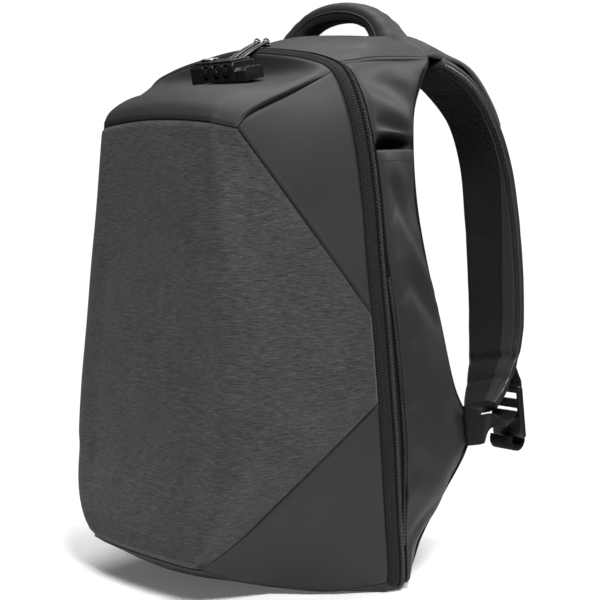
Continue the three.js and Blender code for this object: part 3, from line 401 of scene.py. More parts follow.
RIDGE = [
    front_point(0.405, 1.0, 0.065),
    front_point(0.655, 0.945, 0.232),
    front_point(0.6, 0.89, 0.55),
    front_point(0.454, 0.887, 0.853),
]
FOOT_CORNER = front_point(0.482, 0.995, 0.067)
FOOT_BEND = front_point(0.56, 0.75, 0.113)
HEAD_CORNER = front_point(0.579, 0.783, 0.842)
LOW_STEPS, SIDE_STEPS, HIGH_STEPS = 10, 2, 10
RIDGE_AT_LOW = 0.38
RIDGE_AT_HIGH = 0.6
BEND_SHARE = 0.16


def mix(a, b, t):
    return np.asarray(a, float) * (1 - t) + np.asarray(b, float) * t


def low_edge_at(t):
    if t < BEND_SHARE:
        return mix(FOOT_CORNER, FOOT_BEND, t / BEND_SHARE)
    return mix(FOOT_BEND, seam_at(FRONT_LOW)[0], (t - BEND_SHARE) / (1 - BEND_SHARE))


FRONT_EDGE = (
    [(low_edge_at(t), t * RIDGE_AT_LOW) for t in np.linspace(0, 1, LOW_STEPS + 1)]
    + [
        (seam_at(FRONT_LOW + t)[0], mix(RIDGE_AT_LOW, RIDGE_AT_HIGH, t))
        for t in np.linspace(0, 1, SIDE_STEPS + 1)[1:]
    ]
    + [
        (mix(seam_at(FRONT_HIGH)[0], HEAD_CORNER, t), mix(RIDGE_AT_HIGH, 1, t))
        for t in np.linspace(0, 1, HIGH_STEPS + 1)[1:]
    ]
)


def both_sides(half):
    half = np.asarray(half)
    return np.vstack([half[1:][::-1] * MIRROR, half])


def front_row(edge, share, index):
    bow = RIDGE_BOW * math.sin(math.pi * min(1, 3 * share) ** 0.6)
    crease = through(RIDGE, share * 3)[0] + (SIDEWAYS - BACKWARD) * bow
    arch = TOP_EDGE_ARCH * smooth((index - LOW_STEPS - SIDE_STEPS) / HIGH_STEPS)
    crown = RIDGE_CROWN + RIDGE_FILL * math.sin(math.pi * share**0.6)
    inside = [
        [crease[0] * s, crease[1] - crown * (1 - s * s), crease[2] + arch * (1 - s * s)]
        for s in np.linspace(0, 1, 4)
    ]
    return inside + [mix(crease, edge, s) for s in np.linspace(0, 1, 4)[1:]]


FRONT_HALF = [front_row(edge, share, i) for i, (edge, share) in enumerate(FRONT_EDGE)]
FRONT_ROWS = np.array([both_sides(row) for row in FRONT_HALF])

TOP_PROFILE = [
    (0.0, 0.0, 0.0),
    (0.13, 1.0, 0.0),
    (0.35, 0.95, 0.1),
    (0.58, 0.5, 1.15),
    (0.86, 0.1, 2.15),
    (1.0, 0.0, 0.0),
]
DART_SWELL = 0.55
RISE_DIRECTION = unit([0, -0.45, 0.9])
TOP_SEAM = seam_at(np.linspace(TOP_CORNER, LAST - TOP_CORNER, 13))[::-1]


def slope_point(start, end, along, rise):
    return mix(start, end, along) + RISE_DIRECTION * TOP_RISE * rise


def top_rows():
    rows = []
    for along, swell, dip in TOP_PROFILE:
        row = []
        for j, start in enumerate(FRONT_ROWS[-1]):
            side = abs(2 * j / (len(FRONT_ROWS[-1]) - 1) - 1)
            rise = swell * (1 - (1 - DART_SWELL) * side**2) - dip * (1 - side**2) ** 2
            row.append(slope_point(start, TOP_SEAM[j], along, rise))
        rows.append(row)
    return np.array(rows)


def corner_top_rows():
    rows = []
    for i in range(HIGH_STEPS + 1):
        start = FRONT_EDGE[LOW_STEPS + SIDE_STEPS + i][0]
        end = seam_at(FRONT_HIGH + i / 2)[0]
        rise = DART_SWELL * (i / HIGH_STEPS) ** 2
        rows.append([slope_point(start, end, along, swell * rise) for along, swell, _ in TOP_PROFILE])
    return np.array(rows)


BASE_EDGE = [
    (0.5, 0.76, 0.04, 0.93, 0.046),
    (0.53, 0.43, 0.013, 0.7, 0.02),
    (0.73, 0.12, 0.004, 0.2, 0.0),
]


def corner_bottom_rows():
    end_line = [FOOT_CORNER, *[front_point(*row[:3]) for row in BASE_EDGE], seam_at(BASE_CORNER)[0]]
    rows = []
    for i in range(LOW_STEPS + 1):
        start = low_edge_at(1 - i / LOW_STEPS)
        end = seam_at(FRONT_LOW - i / 2)[0]
        row = []
        for j, low in enumerate(end_line):
            t = j / (len(end_line) - 1)
            straight = mix(end_line[0], end_line[-1], t)
            row.append(mix(start, end, t) + (low - straight) * (i / LOW_STEPS) ** 3)
        rows.append(row)
    return np.array(rows)


def base_rows():
    rows = [FRONT_HALF[0]]
    for x, y, z, centre_y, centre_z in BASE_EDGE:
        outline = front_point(x, y, z)
        middle = -centre_y * FRONT_REACH
        row = [
            [outline[0] * s, middle + (outline[1] - middle) * s * s, centre_z * HEIGHT]
            for s in np.linspace(0, 1, 7)
        ]
        row[-1][2] = outline[2]
        rows.append(row)
    for at in (seam_at, zip_front_at, zip_rear_at, side_front_at, rear_at):
        row = at(np.linspace(0, BASE_CORNER, 7))
        row[:-1, 2] = 0
        rows.append(row)
    return np.array([both_sides(row) for row in rows])


def rear_station(k):
    """Where on the rear edge the cloth from each place of the gusset's edge ends: a little higher."""
    side = np.where(k <= TOP_CENTRE, k, LAST - k)
    mouth = MOUTH_RAKE * smooth((side - 9) / 2) * (1 - smooth((side - 12.5) / 1.5))
    seam = YOKE_RAKE * smooth((side - 12.8) / 1.7) * (1 - smooth((side - YOKE_SEAM) / 1.5))
    return np.where(k <= TOP_CENTRE, k + mouth + seam, k - mouth - seam)


def side_grid(stations, shares, lift):
    """Points between the gusset's edge and the rear edge, stood off outwards by lift(stations, shares)."""
    k, s = np.asarray(stations, float), np.asarray(shares, float)
    place = mix(side_front_at(k)[:, None], rear_at(rear_station(k))[:, None], s[None, :, None])
    return place + outward_at(k)[:, None] * lift(k[:, None], s[None, :])[..., None]


YOKE_FLAP = 14


def yoke_rows(rows, columns):
    """The yoke's top and its flap that turns down over the back, which fades out at the strap's root."""
    k = np.linspace(YOKE_SEAM, LAST - YOKE_SEAM, rows)
    fade = smooth(np.minimum(k - YOKE_SEAM, LAST - YOKE_SEAM - k))

    def crown(_, share):
        return YOKE_CROWN * fade[:, None] * np.sin(np.pi * share)

    top = side_grid(k, np.linspace(0, 1, columns), crown)
    rear = rear_at(rear_station(k))
    reach = (0.3 + 0.7 * fade**1.5)[:, None]
    turned = rear + reach * np.array([0, YOKE_TURN * 0.8, -YOKE_DROP * 0.3])
    hem = rear + reach * np.array([0, YOKE_TURN, -YOKE_DROP])
    control = np.stack([top[:, -2], top[:, -1], turned, hem])
    flap = refine_axis(control, 3 * YOKE_FLAP, False)[YOKE_FLAP:]
    return np.concatenate([top, np.swapaxes(flap, 0, 1)[:, 1::2]], axis=1)


# Shared making of lofts, tubes and repeated small pieces.
def frames_along(path, side):
    """Unit along, across and up directions at each point of a path; side is kept as across."""
    path = np.asarray(path, float)
    along = unit(np.gradient(path, axis=0))
    side = np.broadcast_to(np.asarray(side, float), path.shape)
    across = unit(side - along * np.sum(side * along, axis=1, keepdims=True))
    return along, across, np.cross(across, along)


def ring_faces(rows, columns, caps=True):
    """Faces between rings of points, with the first and last ring closed."""
    faces = grid_faces(rows, columns, ring=True).tolist()
    if caps:
        faces.append(list(range(columns))[::-1])
        faces.append([(rows - 1) * columns + i for i in range(columns)])
    return faces


def loft(name, sections, caps=True, uv=None):
    """A skin over rings of points, with its faces turned outwards."""
    made = to_mesh(name, sections.reshape(-1, 3), ring_faces(*sections.shape[:2], caps), uv)
    shape = bmesh.new()
    shape.from_mesh(made.data)
    bmesh.ops.remove_doubles(shape, verts=shape.verts, dist=0.001 * MM)
    bmesh.ops.recalc_face_normals(shape, faces=shape.faces)
    shape.to_mesh(made.data)
    shape.free()
    return made


def lengths_along(path):
    return np.concatenate([[0], np.cumsum(np.linalg.norm(np.diff(path, axis=0), axis=1))])


def interpolated(at, places, values):
    return np.stack([np.interp(at, places, values[:, i]) for i in range(3)], axis=1)


def tube(name, path, radius, side=UP, sides=8, flat=1.0, caps=True):
    along, across, up = frames_along(path, side)
    angle = np.linspace(0, 2 * math.pi, sides, endpoint=False)
    radius = np.broadcast_to(radius, len(path))[:, None, None]
    ring = across[:, None] * np.cos(angle)[:, None] + flat * up[:, None] * np.sin(angle)[:, None]
    sections = np.asarray(path)[:, None] + radius * ring
    round_, long = np.broadcast_arrays(angle * 2, lengths_along(path)[:, None])
    return loft(name, sections, caps, np.stack([round_, long], axis=-1).reshape(-1, 2))


def spaced(path, pitch):
    """Points at an even pitch along a path."""
    path = np.asarray(path, float)
    length = lengths_along(path)
    at = np.arange(pitch / 2, length[-1], pitch)
    return interpolated(at, length, path), at / length[-1]


def resampled(path, count):
    length = lengths_along(path)
    return interpolated(np.linspace(0, length[-1], count), length, path)


def capsule(length, width, height, sides=6):
    """A small rounded bar along X: vertices and faces."""
    rings = [(-0.5, 0.45), (-0.4, 0.9), (0.0, 1.0), (0.4, 0.9), (0.5, 0.45)]
    angle = np.linspace(0, 2 * math.pi, sides, endpoint=False)
    vertices = [
        [x * length, math.cos(a) * size * width / 2, math.sin(a) * size * height / 2]
        for x, size in rings
        for a in angle
    ]
    return np.array(vertices), ring_faces(len(rings), sides)


def repeated(name, shape, places, *axes):
    """Copies of a small shape at places, its X, Y and Z along the given directions."""
    vertices, faces = shape
    spread = places[:, None] + sum(vertices[None, :, i, None] * axis[:, None] for i, axis in enumerate(axes))
    count = len(vertices)
    every = [[v + i * count for v in face] for i in range(len(places)) for face in faces]
    return to_mesh(name, spread.reshape(-1, 3), every)


def stitches(name, paths, pitch=4.2, length=3.0, width=0.75, lift=0.15, slot="coated"):
    """Sewn stitches lying along paths on the bag's skin; each path has points and outward directions."""
    places, first, third = [], [], []
    for path, out in paths:
        at, share = spaced(path, pitch)
        normal = unit(interpolated(share * (len(path) - 1), np.arange(len(path)), out))
        places.append(at + normal * lift)
        first.append(unit(np.gradient(at, axis=0)))
        third.append(normal)
    first, third = np.vstack(first), np.vstack(third)
    bar = capsule(length, width, width * 0.8)
    dress(repeated(name, bar, np.vstack(places), first, np.cross(third, first), third), THREAD, slot)


def line_on(grid, side, distance):
    """Points and outward directions on a grid, at a distance from one of its sides."""
    normal = grid_normals(grid)
    if side in ("top", "bottom"):
        grid, normal = np.swapaxes(grid, 0, 1), np.swapaxes(normal, 0, 1)
    if side in ("bottom", "right"):
        grid, normal = grid[:, ::-1], normal[:, ::-1]
    rows = [(lengths_along(line), line, out) for line, out in zip(grid, normal)]
    points = [[np.interp(distance, length, line[:, i]) for i in range(3)] for length, line, _ in rows]
    outs = [[np.interp(distance, length, out[:, i]) for i in range(3)] for length, _, out in rows]
    return np.array(points), np.array(outs)


# Materials.
def shader(name, color, roughness, **constants):
    """A material whose constants sit on the shader's own sockets."""
    made = bpy.data.materials.new(name)
    made.use_nodes = True
    surface = made.node_tree.nodes["Principled BSDF"]
    surface.inputs["Base Color"].default_value = (*color, 1)
    surface.inputs["Roughness"].default_value = roughness
    for key, value in constants.items():
        surface.inputs[key.replace("_", " ")].default_value = value
    return made, made.node_tree, surface


def node(tree, kind, inputs=None, **settings):
    made = tree.nodes.new("ShaderNode" + kind)
    for key, value in settings.items():
        setattr(made, key, value)
    for key, value in (inputs or {}).items():
        if isinstance(value, bpy.types.NodeSocket):
            tree.links.new(value, made.inputs[key])
        else:
            made.inputs[key].default_value = value
    return made


def place_on(tree, source="Object", scale=(1, 1, 1), turn=(0, 0, 0)):
    """Texture coordinates scaled per metre."""
    vector = node(tree, "TexCoord").outputs[source]
    return node(tree, "Mapping", {"Vector": vector, "Scale": scale, "Rotation": turn}).outputs["Vector"]


def noise(tree, vector, scale, detail=3, roughness=0.55):
    inputs = {"Vector": vector, "Scale": scale, "Detail": detail, "Roughness": roughness}
    return node(tree, "TexNoise", inputs).outputs["Fac"]


def grey(value):
    return (value, value, value)


def ramp(tree, factor, *stops):
    """A colour that changes with a factor; each stop is a place and a colour."""
    made = node(tree, "ValToRGB", {"Fac": factor})
    bar = made.color_ramp
    while len(bar.elements) < len(stops):
        bar.elements.new(0.5)
    for element, (place, color) in zip(bar.elements, stops):
        element.position = place
        element.color = (*color, 1)
    return made.outputs["Color"]


def ranged(tree, value, start, end, to_start, to_end):
    """A value mapped from one range to another."""
    inputs = {"Value": value, "From Min": start, "From Max": end, "To Min": to_start, "To Max": to_end}
    return node(tree, "MapRange", inputs).outputs["Result"]


def math_of(tree, operation, a, b=0.0):
    return node(tree, "Math", {0: a, 1: b}, operation=operation).outputs["Value"]


def blend(tree, *parts):
    """The sum of values, each times its weight."""
    weighted = [math_of(tree, "MULTIPLY", value, weight) for value, weight in parts]
    total = weighted[0]
    for part in weighted[1:]:
        total = math_of(tree, "ADD", total, part)
    return total


def stripes(tree, length, pitch):
    """Soft stripes, from 0 to 1, with a pitch in millimetres along a length."""
    cycles = math_of(tree, "MULTIPLY", length, 2 * math.pi / (pitch * MM))
    half = math_of(tree, "MULTIPLY", math_of(tree, "SINE", cycles), 0.5)
    return math_of(tree, "ADD", half, 0.5)


def bump(tree, height, distance, strength, *under):
    """A bump, over another one if that is given."""
    inputs = {"Height": height, "Distance": distance, "Strength": strength}
    if under:
        inputs["Normal"] = under[0]
    return node(tree, "Bump", inputs).outputs["Normal"]


def drive(surface, **sources):
    """Links the shader's sockets to what makes their values."""
    for key, source in sources.items():
        surface.id_data.links.new(source, surface.inputs[key.replace("_", " ")])


def heather_cloth():
    """Textile of light and dark yarns, in short level streaks."""
    made, tree, surface = shader(
        "heather_cloth", grey(0.04), 0.9, Sheen_Weight=0.1, Sheen_Roughness=0.5, Specular_IOR_Level=0.15
    )
    streaks = noise(tree, place_on(tree, scale=(130, 130, 2000)), 1.0, 4, 0.6)
    yarns = noise(tree, place_on(tree, scale=(420, 420, 3200)), 1.0, 2, 0.6)
    patches = noise(tree, place_on(tree), 26.0, 2, 0.5)
    mixed = blend(tree, (streaks, 0.62), (yarns, 0.3), (patches, 0.08))
    color = ramp(tree, mixed, (0.34, grey(0.011)), (0.5, grey(0.034)), (0.68, grey(0.08)))
    drive(surface, Base_Color=color, Normal=bump(tree, mixed, 0.0006, 0.55))
    return made


def coated_cloth(name, color, roughness):
    """Coated cloth: a fine grain, soft unevenness and a satin gloss that varies a little."""
    made, tree, surface = shader(name, color, roughness, Specular_IOR_Level=0.34)
    around = place_on(tree)
    grain = noise(tree, around, 1500.0, 2, 0.5)
    sag = noise(tree, around, 24.0, 2, 0.4)
    cloud = noise(tree, around, 9.0, 3, 0.5)
    dark, light = (tuple(share * c for c in color) for share in (0.82, 1.16))
    drive(
        surface,
        Base_Color=ramp(tree, cloud, (0.3, dark), (0.7, light)),
        Roughness=ranged(tree, cloud, 0.3, 0.7, roughness - 0.05, roughness + 0.06),
        Normal=bump(tree, grain, 0.0001, 0.6, bump(tree, sag, 0.002, 0.35)),
    )
    return made


def ribs(tree, source, pitch, turn):
    """Stripes across a coordinate, turned in its plane."""
    turned = place_on(tree, source, turn=(0, 0, turn))
    return stripes(tree, node(tree, "SeparateXYZ", {"Vector": turned}).outputs["X"], pitch)


def woven_tape(name, dark, light, pitch, turn=52, source="UV"):
    """Twill tape: fine ribs, slanted by a turn in degrees."""
    made, tree, surface = shader(name, dark, 0.8, Sheen_Weight=0.02, Specular_IOR_Level=0.07)
    slant = math.radians(turn)
    warp = ribs(tree, source, pitch, slant)
    weft = ribs(tree, source, pitch * 0.8, slant - math.pi / 2)
    fuzz = noise(tree, place_on(tree), 700.0, 2)
    mixed = blend(tree, (blend(tree, (warp, 0.7), (weft, 0.3)), 0.75), (fuzz, 0.25))
    color = ramp(tree, mixed, (0.2, dark), (0.85, light))
    drive(surface, Base_Color=color, Normal=bump(tree, mixed, 0.0004, 0.7))
    return made


def herringbone_tape():
    """Tape with slanted ribs that turn back every few millimetres."""
    made, tree, surface = shader(
        "herringbone_tape", grey(0.02), 0.75, Sheen_Weight=0.04, Specular_IOR_Level=0.15
    )
    split = node(tree, "SeparateXYZ", {"Vector": place_on(tree, "UV")})
    zigzag = math_of(tree, "PINGPONG", split.outputs["X"], 4.0 * MM)
    slanted = stripes(tree, math_of(tree, "ADD", split.outputs["Y"], zigzag), 1.7)
    color = ramp(tree, slanted, (0.15, grey(0.008)), (0.9, (0.045, 0.046, 0.046)))
    drive(surface, Base_Color=color, Normal=bump(tree, slanted, 0.0005, 0.8))
    return made


def air_mesh(name, dark, light):
    """Spacer mesh: rows of small open cells over a dark ground."""
    made, tree, surface = shader(name, light, 0.8, Sheen_Weight=0.02, Specular_IOR_Level=0.08)
    spots = {"Vector": place_on(tree, "UV", (1, 1.15, 1)), "Scale": 420.0, "Randomness": 0.25}
    cells = node(tree, "TexVoronoi", spots).outputs["Distance"]
    weave = noise(tree, place_on(tree), 1200.0, 2)
    height = math_of(tree, "ADD", cells, math_of(tree, "MULTIPLY", weave, 0.25))
    color = ramp(tree, cells, (0.1, dark), (0.55, light))
    drive(surface, Base_Color=color, Normal=bump(tree, height, 0.0007, 0.8))
    return made


def plastic(name, color, roughness):
    """Moulded plastic with a fine grain and a little wear."""
    made, tree, surface = shader(name, color, roughness, Specular_IOR_Level=0.5)
    around = place_on(tree)
    wear = noise(tree, around, 60.0, 4)
    drive(
        surface,
        Normal=bump(tree, noise(tree, around, 900.0, 2), 0.00008, 0.5),
        Roughness=ranged(tree, wear, 0.3, 0.7, roughness - 0.06, roughness + 0.08),
    )
    return made


def metal(name, color, roughness):
    """Brushed steel."""
    made, tree, surface = shader(name, color, roughness, Metallic=1.0)
    brushed = noise(tree, place_on(tree, scale=(40, 1600, 1600)), 1.0, 2)
    dark, light = (tuple(share * c for c in color) for share in (0.8, 1.1))
    color = ramp(tree, brushed, (0.3, dark), (0.7, light))
    drive(surface, Base_Color=color, Normal=bump(tree, brushed, 0.00005, 0.5))
    return made


HEATHER = heather_cloth()
COATED = coated_cloth("coated_cloth", (0.013, 0.0135, 0.015), 0.62)
BINDING = woven_tape("binding_tape", (0.003, 0.003, 0.004), (0.024, 0.024, 0.025), 1.7)
ZIP_TAPE = woven_tape("zip_tape", (0.002, 0.002, 0.003), (0.01, 0.01, 0.011), 0.9, turn=0)
WEBBING = woven_tape("webbing", (0.003, 0.003, 0.004), (0.018, 0.018, 0.019), 1.6, turn=35)
WEB_CUT = woven_tape("webbing_cut", (0.003, 0.003, 0.004), (0.016, 0.016, 0.017), 1.5, source="Object")
TAB_WEB = woven_tape("webbing_tab", grey(0.002), (0.007, 0.007, 0.008), 1.5, source="Object")
# Near-black cloth for the slivers sunk in the top's darts: painted shadow.
DART_SHADOW_CLOTH = woven_tape("painted_dart_shadow_cloth", grey(0.0005), grey(0.0012), 1.5, source="Object")
HERRINGBONE = herringbone_tape()
STRAP_MESH = air_mesh("strap_mesh", grey(0.002), (0.02, 0.021, 0.022))
PAD_MESH = air_mesh("pad_mesh", grey(0.005), (0.045, 0.046, 0.048))
COIL = plastic("coil", (0.008, 0.008, 0.009), 0.4)
BUCKLE = plastic("buckle", (0.006, 0.006, 0.007), 0.32)
LOCK_BLACK = plastic("lock_black", (0.006, 0.006, 0.007), 0.24)
LOCK_STEEL = metal("lock_steel", (0.1, 0.1, 0.105), 0.34)
STEEL_BRIGHT = metal("steel_bright", (0.17, 0.17, 0.175), 0.3)
STEEL_DARK = metal("steel_dark", (0.09, 0.09, 0.095), 0.25)
THREAD = plastic("thread", grey(0.003), 0.7)
# Lighter copy of the coated cloth for the strap welts: the welts are real piping, and their lighter colour
# is a painted highlight along the strap's edges.
WELT_HIGHLIGHT_CLOTH = coated_cloth("welt_cloth_painted_highlight", (0.03, 0.03, 0.031), 0.34)


def dress(made, material, slot, *nodes, body="root", padded=None):
    """Gives a piece its material, its body and the CAD nodes that it stands for; its record slot is not
    used.
    """
    made.data.materials.clear()
    made.data.materials.append(material)
    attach(made, body)
    if nodes:
        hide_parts(*nodes)


def sewn(name, grid, material, slot, *nodes, padded=None, **edges):
    """A dressed panel; gives the points of its skin."""
    made, skin = panel(name, grid, **edges)
    dress(made, material, slot, *nodes, padded=padded)
    return skin


def coated(name, grid, **edges):
    """A panel of coated cloth in place of the node with its name."""
    return sewn(name, grid, COATED, "coated", name, **edges)


# Front, top and base.
def front_folds(points):
    """The textile's soft unevenness."""
    x, z = points[..., 0], points[..., 2]
    return 0.5 * np.sin(x / 31 + z / 47) * np.sin(z / 39 - x / 83)


def top_folds(points):
    """The slack round the lock."""
    return 0.35 * np.sin(points[..., 0] / 23) * np.sin(points[..., 1] / 17)


def corner_folds(points):
    return 0.8 * np.sin(points[..., 2] / 27 + np.abs(points[..., 0]) / 19)


FRONT_GRID = refine(FRONT_ROWS, 170, 130)
FRONT_EDGES = {"dip": 2.6, "dip_width": 5, "shape": front_folds}
sewn("front_panel", FRONT_GRID, HEATHER, "heather", "front_panel", padded=0.9, **FRONT_EDGES)

TOP_SKIN = refine(top_rows(), 70, 220, False, False)
DART_OPEN = np.sin(np.pi * np.linspace(0, 1, len(TOP_SKIN))) ** 2  # from 0 at its ends to 1 half way
DART_DIP = 1.4 + 4.2 * DART_OPEN
# Radius and depth of the dark slivers sunk in the darts, a painted shadow in their creases.
DART_SHADOW_RADIUS = 0.2 + 2.1 * DART_OPEN
DART_SHADOW_SINK = 2.0
coated("top_panel", TOP_SKIN, dip=DART_DIP[:, None], dip_width=4.5, shape=top_folds)
# Dark tubes sunk along both darts: painted shadow, a dark sliver in the creases of the darts.
for side, column in (("left", 0), ("right", -1)):
    seam = TOP_SKIN[:, column]
    shadow_sliver = tube("painted_dart_shadow_" + side, seam + core_direction(seam) * DART_SHADOW_SINK, DART_SHADOW_RADIUS, UP, 10)
    dress(shadow_sliver, DART_SHADOW_CLOTH, "coated")

coated("base_panel", refine(base_rows(), 110, 90), dip=0.8)
CORNERS = (
    ("corner_top_", refine(corner_top_rows(), 90, 50)),
    ("corner_bottom_", refine(corner_bottom_rows(), 100, 70)),
)
for side, face in SIDES:
    for part, rows in CORNERS:
        coated(part + side, rows * face, shape=corner_folds, dip=1.8, dip_width=3.5)


# Zip, from its binding to the gusset behind it.
STRIP_ROWS = 460
COIL_PITCH, COIL_THICKNESS, COIL_SWAY = 1.5, 1.5, 0.35
TAPE_SINK = 0.6  # how far the tape lies below the zip line
SECOND_INSET, SECOND_SINK = 2.6, 0.9  # the expander's zip: from the gusset's edge and below it
SECOND_START, SECOND_END = 4.6, 9.6  # its stations


def strip_grid(columns, *ats):
    """A strip round the bag through a few lines, each a function of the station."""
    stations = np.linspace(STRIP_START, LAST - STRIP_START, STRIP_ROWS)
    return refine(np.stack([at(stations) for at in ats], axis=1), STRIP_ROWS, columns, False, False)


def binding_swell(points):
    _, _, left, right = edge_distances(points)
    share = left / np.maximum(left + right, 1e-6)
    swell = 1.3 * np.sin(np.pi * share) + 0.9 * np.exp(-(((share - 0.9) / 0.08) ** 2))
    return swell * smooth(points[..., 2] / 12)


def zip_middle_at(k):
    return from_zip(k, 0, TAPE_SINK)


def gusset_middle_at(k):
    return from_zip(k, ZIP_HALF + gusset_width(k) / 2, GUSSET_SINK + 1)


def second_zip_at(k):
    return from_zip(k, ZIP_HALF + gusset_width(k) - SECOND_INSET, SECOND_SINK)


def coil(name, at, start, end, length=3.8, lift=0.5):
    """A zip's coil: close short bars across its line, every other one set over a little."""
    places, share = spaced(at(np.linspace(start, end, 900)), COIL_PITCH)
    out = outward_at(start + share * (end - start))
    along = unit(np.gradient(places, axis=0))
    across = unit(np.cross(out, along))
    sway = np.where(np.arange(len(places)) % 2 == 0, COIL_SWAY, -COIL_SWAY)[:, None]
    bar = capsule(length, COIL_PITCH * 0.72, COIL_THICKNESS)
    dress(repeated(name, bar, places + out * lift + across * sway, across, along, out), COIL, "zip")


BINDING_GRID = strip_grid(16, seam_at, zip_front_at)
BINDING_EDGES = {"dip": 0.5, "dip_width": 2.2, "rim": 3, "draw": 0.2, "shape": binding_swell}
BINDING_SKIN = sewn("zip_binding", BINDING_GRID, BINDING, "woven", "zip_binding", **BINDING_EDGES)
stitches("binding_stitches", [line_on(BINDING_SKIN, "left", 3.6)], 3.6, 2.5, 0.55, 0.1, "woven")

TAPE_GRID = strip_grid(8, zip_front_at, zip_middle_at, zip_rear_at)
sewn("zip_tape", TAPE_GRID, ZIP_TAPE, "zip", "zip_main", dip=0.4, dip_width=1, rim=3, draw=0)
coil("zip_coil", zip_at, STRIP_START + 0.3, LAST - STRIP_START - 0.3)

GUSSET_GRID = strip_grid(12, zip_rear_at, gusset_middle_at, side_front_at)
sewn("zip_gusset", GUSSET_GRID, ZIP_TAPE, "zip", "zip_gusset", dip=0.5, dip_width=1.2, rim=3, draw=0.1)
coil("expander_coil_right", second_zip_at, SECOND_START, SECOND_END, 3.2, 0.3)
coil("expander_coil_left", second_zip_at, LAST - SECOND_END, LAST - SECOND_START, 3.2, 0.3)


# Sides and yoke. Soft folds: start and end on the right side, width and height.
SIDE_FOLDS = [
    ((152, 20, 66), (118, 112, 160), 8, 4.2),
    ((150, 40, 40), (128, 100, 96), 6, -2.4),
    ((148, 24, 300), (140, 80, 232), 11, 3.6),
    ((147, 20, 330), (136, 76, 262), 8, -2.6),
    ((147, 22, 262), (138, 84, 205), 10, -2.6),
    ((149, 26, 236), (138, 74, 150), 13, 3.0),
    ((151, 34, 200), (137, 98, 105), 11, 2.6),
    ((151, 32, 150), (132, 98, 80), 8, -2.2),
    ((147, 16, 345), (140, 60, 318), 10, 2.4),
    ((138, 0, 396), (118, 60, 372), 10, 3.0),
    ((140, 8, 372), (122, 58, 366), 6, -2.6),
    ((134, 6, 410), (112, 66, 398), 9, -1.8),
    ((140, 55, 318), (126, 96, 300), 6, -2.2),
    ((140, 60, 292), (128, 104, 272), 7, 2.4),
    ((142, 66, 262), (130, 110, 246), 6, -2.2),
    ((142, 70, 232), (134, 118, 214), 8, 2.0),
]
YOKE_FOLDS = [
    ((62, 112, 452), (84, 40, 430), 9, 2.4),
    ((84, 104, 440), (70, 50, 442), 8, -1.8),
    ((96, 96, 425), (104, 20, 418), 10, 1.6),
    ((40, 104, 452), (34, 30, 441), 10, -1.2),
]
SIDE_SLACK, POCKET_SLACK, YOKE_SLACK = 0.012, 0.014, 0.006
PIPING_K = np.linspace(BASE_CORNER, YOKE_SEAM, 200)
PIPING_RADIUS = 1.5 - 0.7 * smooth((PIPING_K - WEB_CORNER) / 1.5)


def add_folds(rise, points, folds):
    for fold_line in folds:
        rise = rise + fold(points, *fold_line)
    return rise


def side_folds(points):
    mirrored = points * [np.sign(points[0, 0, 0]), 1, 1]
    uneven = 0.6 * np.sin(mirrored[..., 2] / 23 + mirrored[..., 1] / 17)
    return add_folds(uneven, mirrored, SIDE_FOLDS)


def yoke_folds(points):
    rise = 0.5 * np.sin(points[..., 0] / 17 + points[..., 1] / 23)
    for _, face in reversed(SIDES):
        rise = add_folds(rise, points * face, YOKE_FOLDS)
    return rise


def panel_depth(k, share):
    """The side's hollow behind the pocket, and its fullness over the pocket's mouth."""
    hollow = smooth((k - POCKET_LOW) / 2) * (1 - smooth((k - MOUTH_AT - 0.05) / 0.22))
    puff = 3.4 * smooth((k - MOUTH_AT - 0.1) / 0.2) * (1 - smooth((k - MOUTH_AT - 0.5) / 1.4))
    return puff * np.sin(np.pi * share) ** 0.6 - POCKET_DEPTH * hollow * np.sin(np.pi * share)


def pocket_lift(k, share):
    swell = POCKET_BULGE * smooth((k - BASE_CORNER) / 3)
    return 0.6 + POCKET_WALL * np.minimum(1, 8 * share * (1 - share)) + swell * np.sin(np.pi * share)


def bag_side(start, end, rows, lift, slack):
    coarse = side_grid(np.linspace(start, end, rows), np.linspace(0, 1, 40), lift)
    return refine(slackened(coarse, side_folds, slack), 2 * rows, 64, False, False)


SIDE_GRID = bag_side(BASE_CORNER, YOKE_SEAM, 130, panel_depth, SIDE_SLACK)
POCKET_GRID = bag_side(BASE_CORNER, MOUTH_AT, 110, pocket_lift, POCKET_SLACK)
for side, face in SIDES:
    coated("side_panel_" + side, SIDE_GRID * face)
    skin = coated("side_pocket_" + side, POCKET_GRID * face, dip=0.6, rim=2)
    piping = tube("rear_piping_" + side, rear_at(PIPING_K) * face, PIPING_RADIUS, BACKWARD)
    dress(piping, WEBBING, "woven")
    stitches("pocket_stitches_" + side, [line_on(skin[:, 3:-3], "bottom", 9.0)], 4.0, 2.8, 0.6)

YOKE_TOP = 30  # columns of the yoke's top, before its flap
YOKE_GRID = slackened(yoke_rows(200, YOKE_TOP), yoke_folds, YOKE_SLACK, cap=2.5)
YOKE_SKIN = coated("yoke", refine(YOKE_GRID, 300, 66, False, False), dip=1.0)
YOKE_SEAMS = [line_on(YOKE_SKIN, side, 3.4) for side in ("top", "bottom")]
stitches("yoke_stitches", YOKE_SEAMS, 4.2, 3.0, 1.0, 0.3)


# Back: a coated lower slope and a padded panel of spacer mesh.
CHANNELS = (0.3, 0.57)  # cross channels of the back pad, as shares of its height
PAD_PUFF = 0.8
LOWER_THICKNESS = 2.4


def back_grid(start, end, rows, columns, thickness_at, shift_at):
    """Points across the back between two stations, behind the rear edge by a thickness."""
    k = np.linspace(start, end, rows)[:, None]
    s = np.linspace(-1, 1, columns)[None, :]
    along = (k - start) / (end - start)
    x, y, z = np.moveaxis(rear_at(k[:, 0])[:, None], -1, 0)
    flat = np.broadcast_arrays((x - BACK_MARGIN) * s, y + SEAM_GAP + thickness_at(s, along), z)
    return np.stack(flat, axis=-1) + shift_at(s, along, k)


def lower_shift(s, along, k):
    lift = rear_at(BASE_CORNER)[0][2] - SEAM_GAP
    drop = -lift * (1 - along) ** 4 * (1 - s**8) - 1.5 * SEAM_GAP * along
    return drop[..., None] * UP


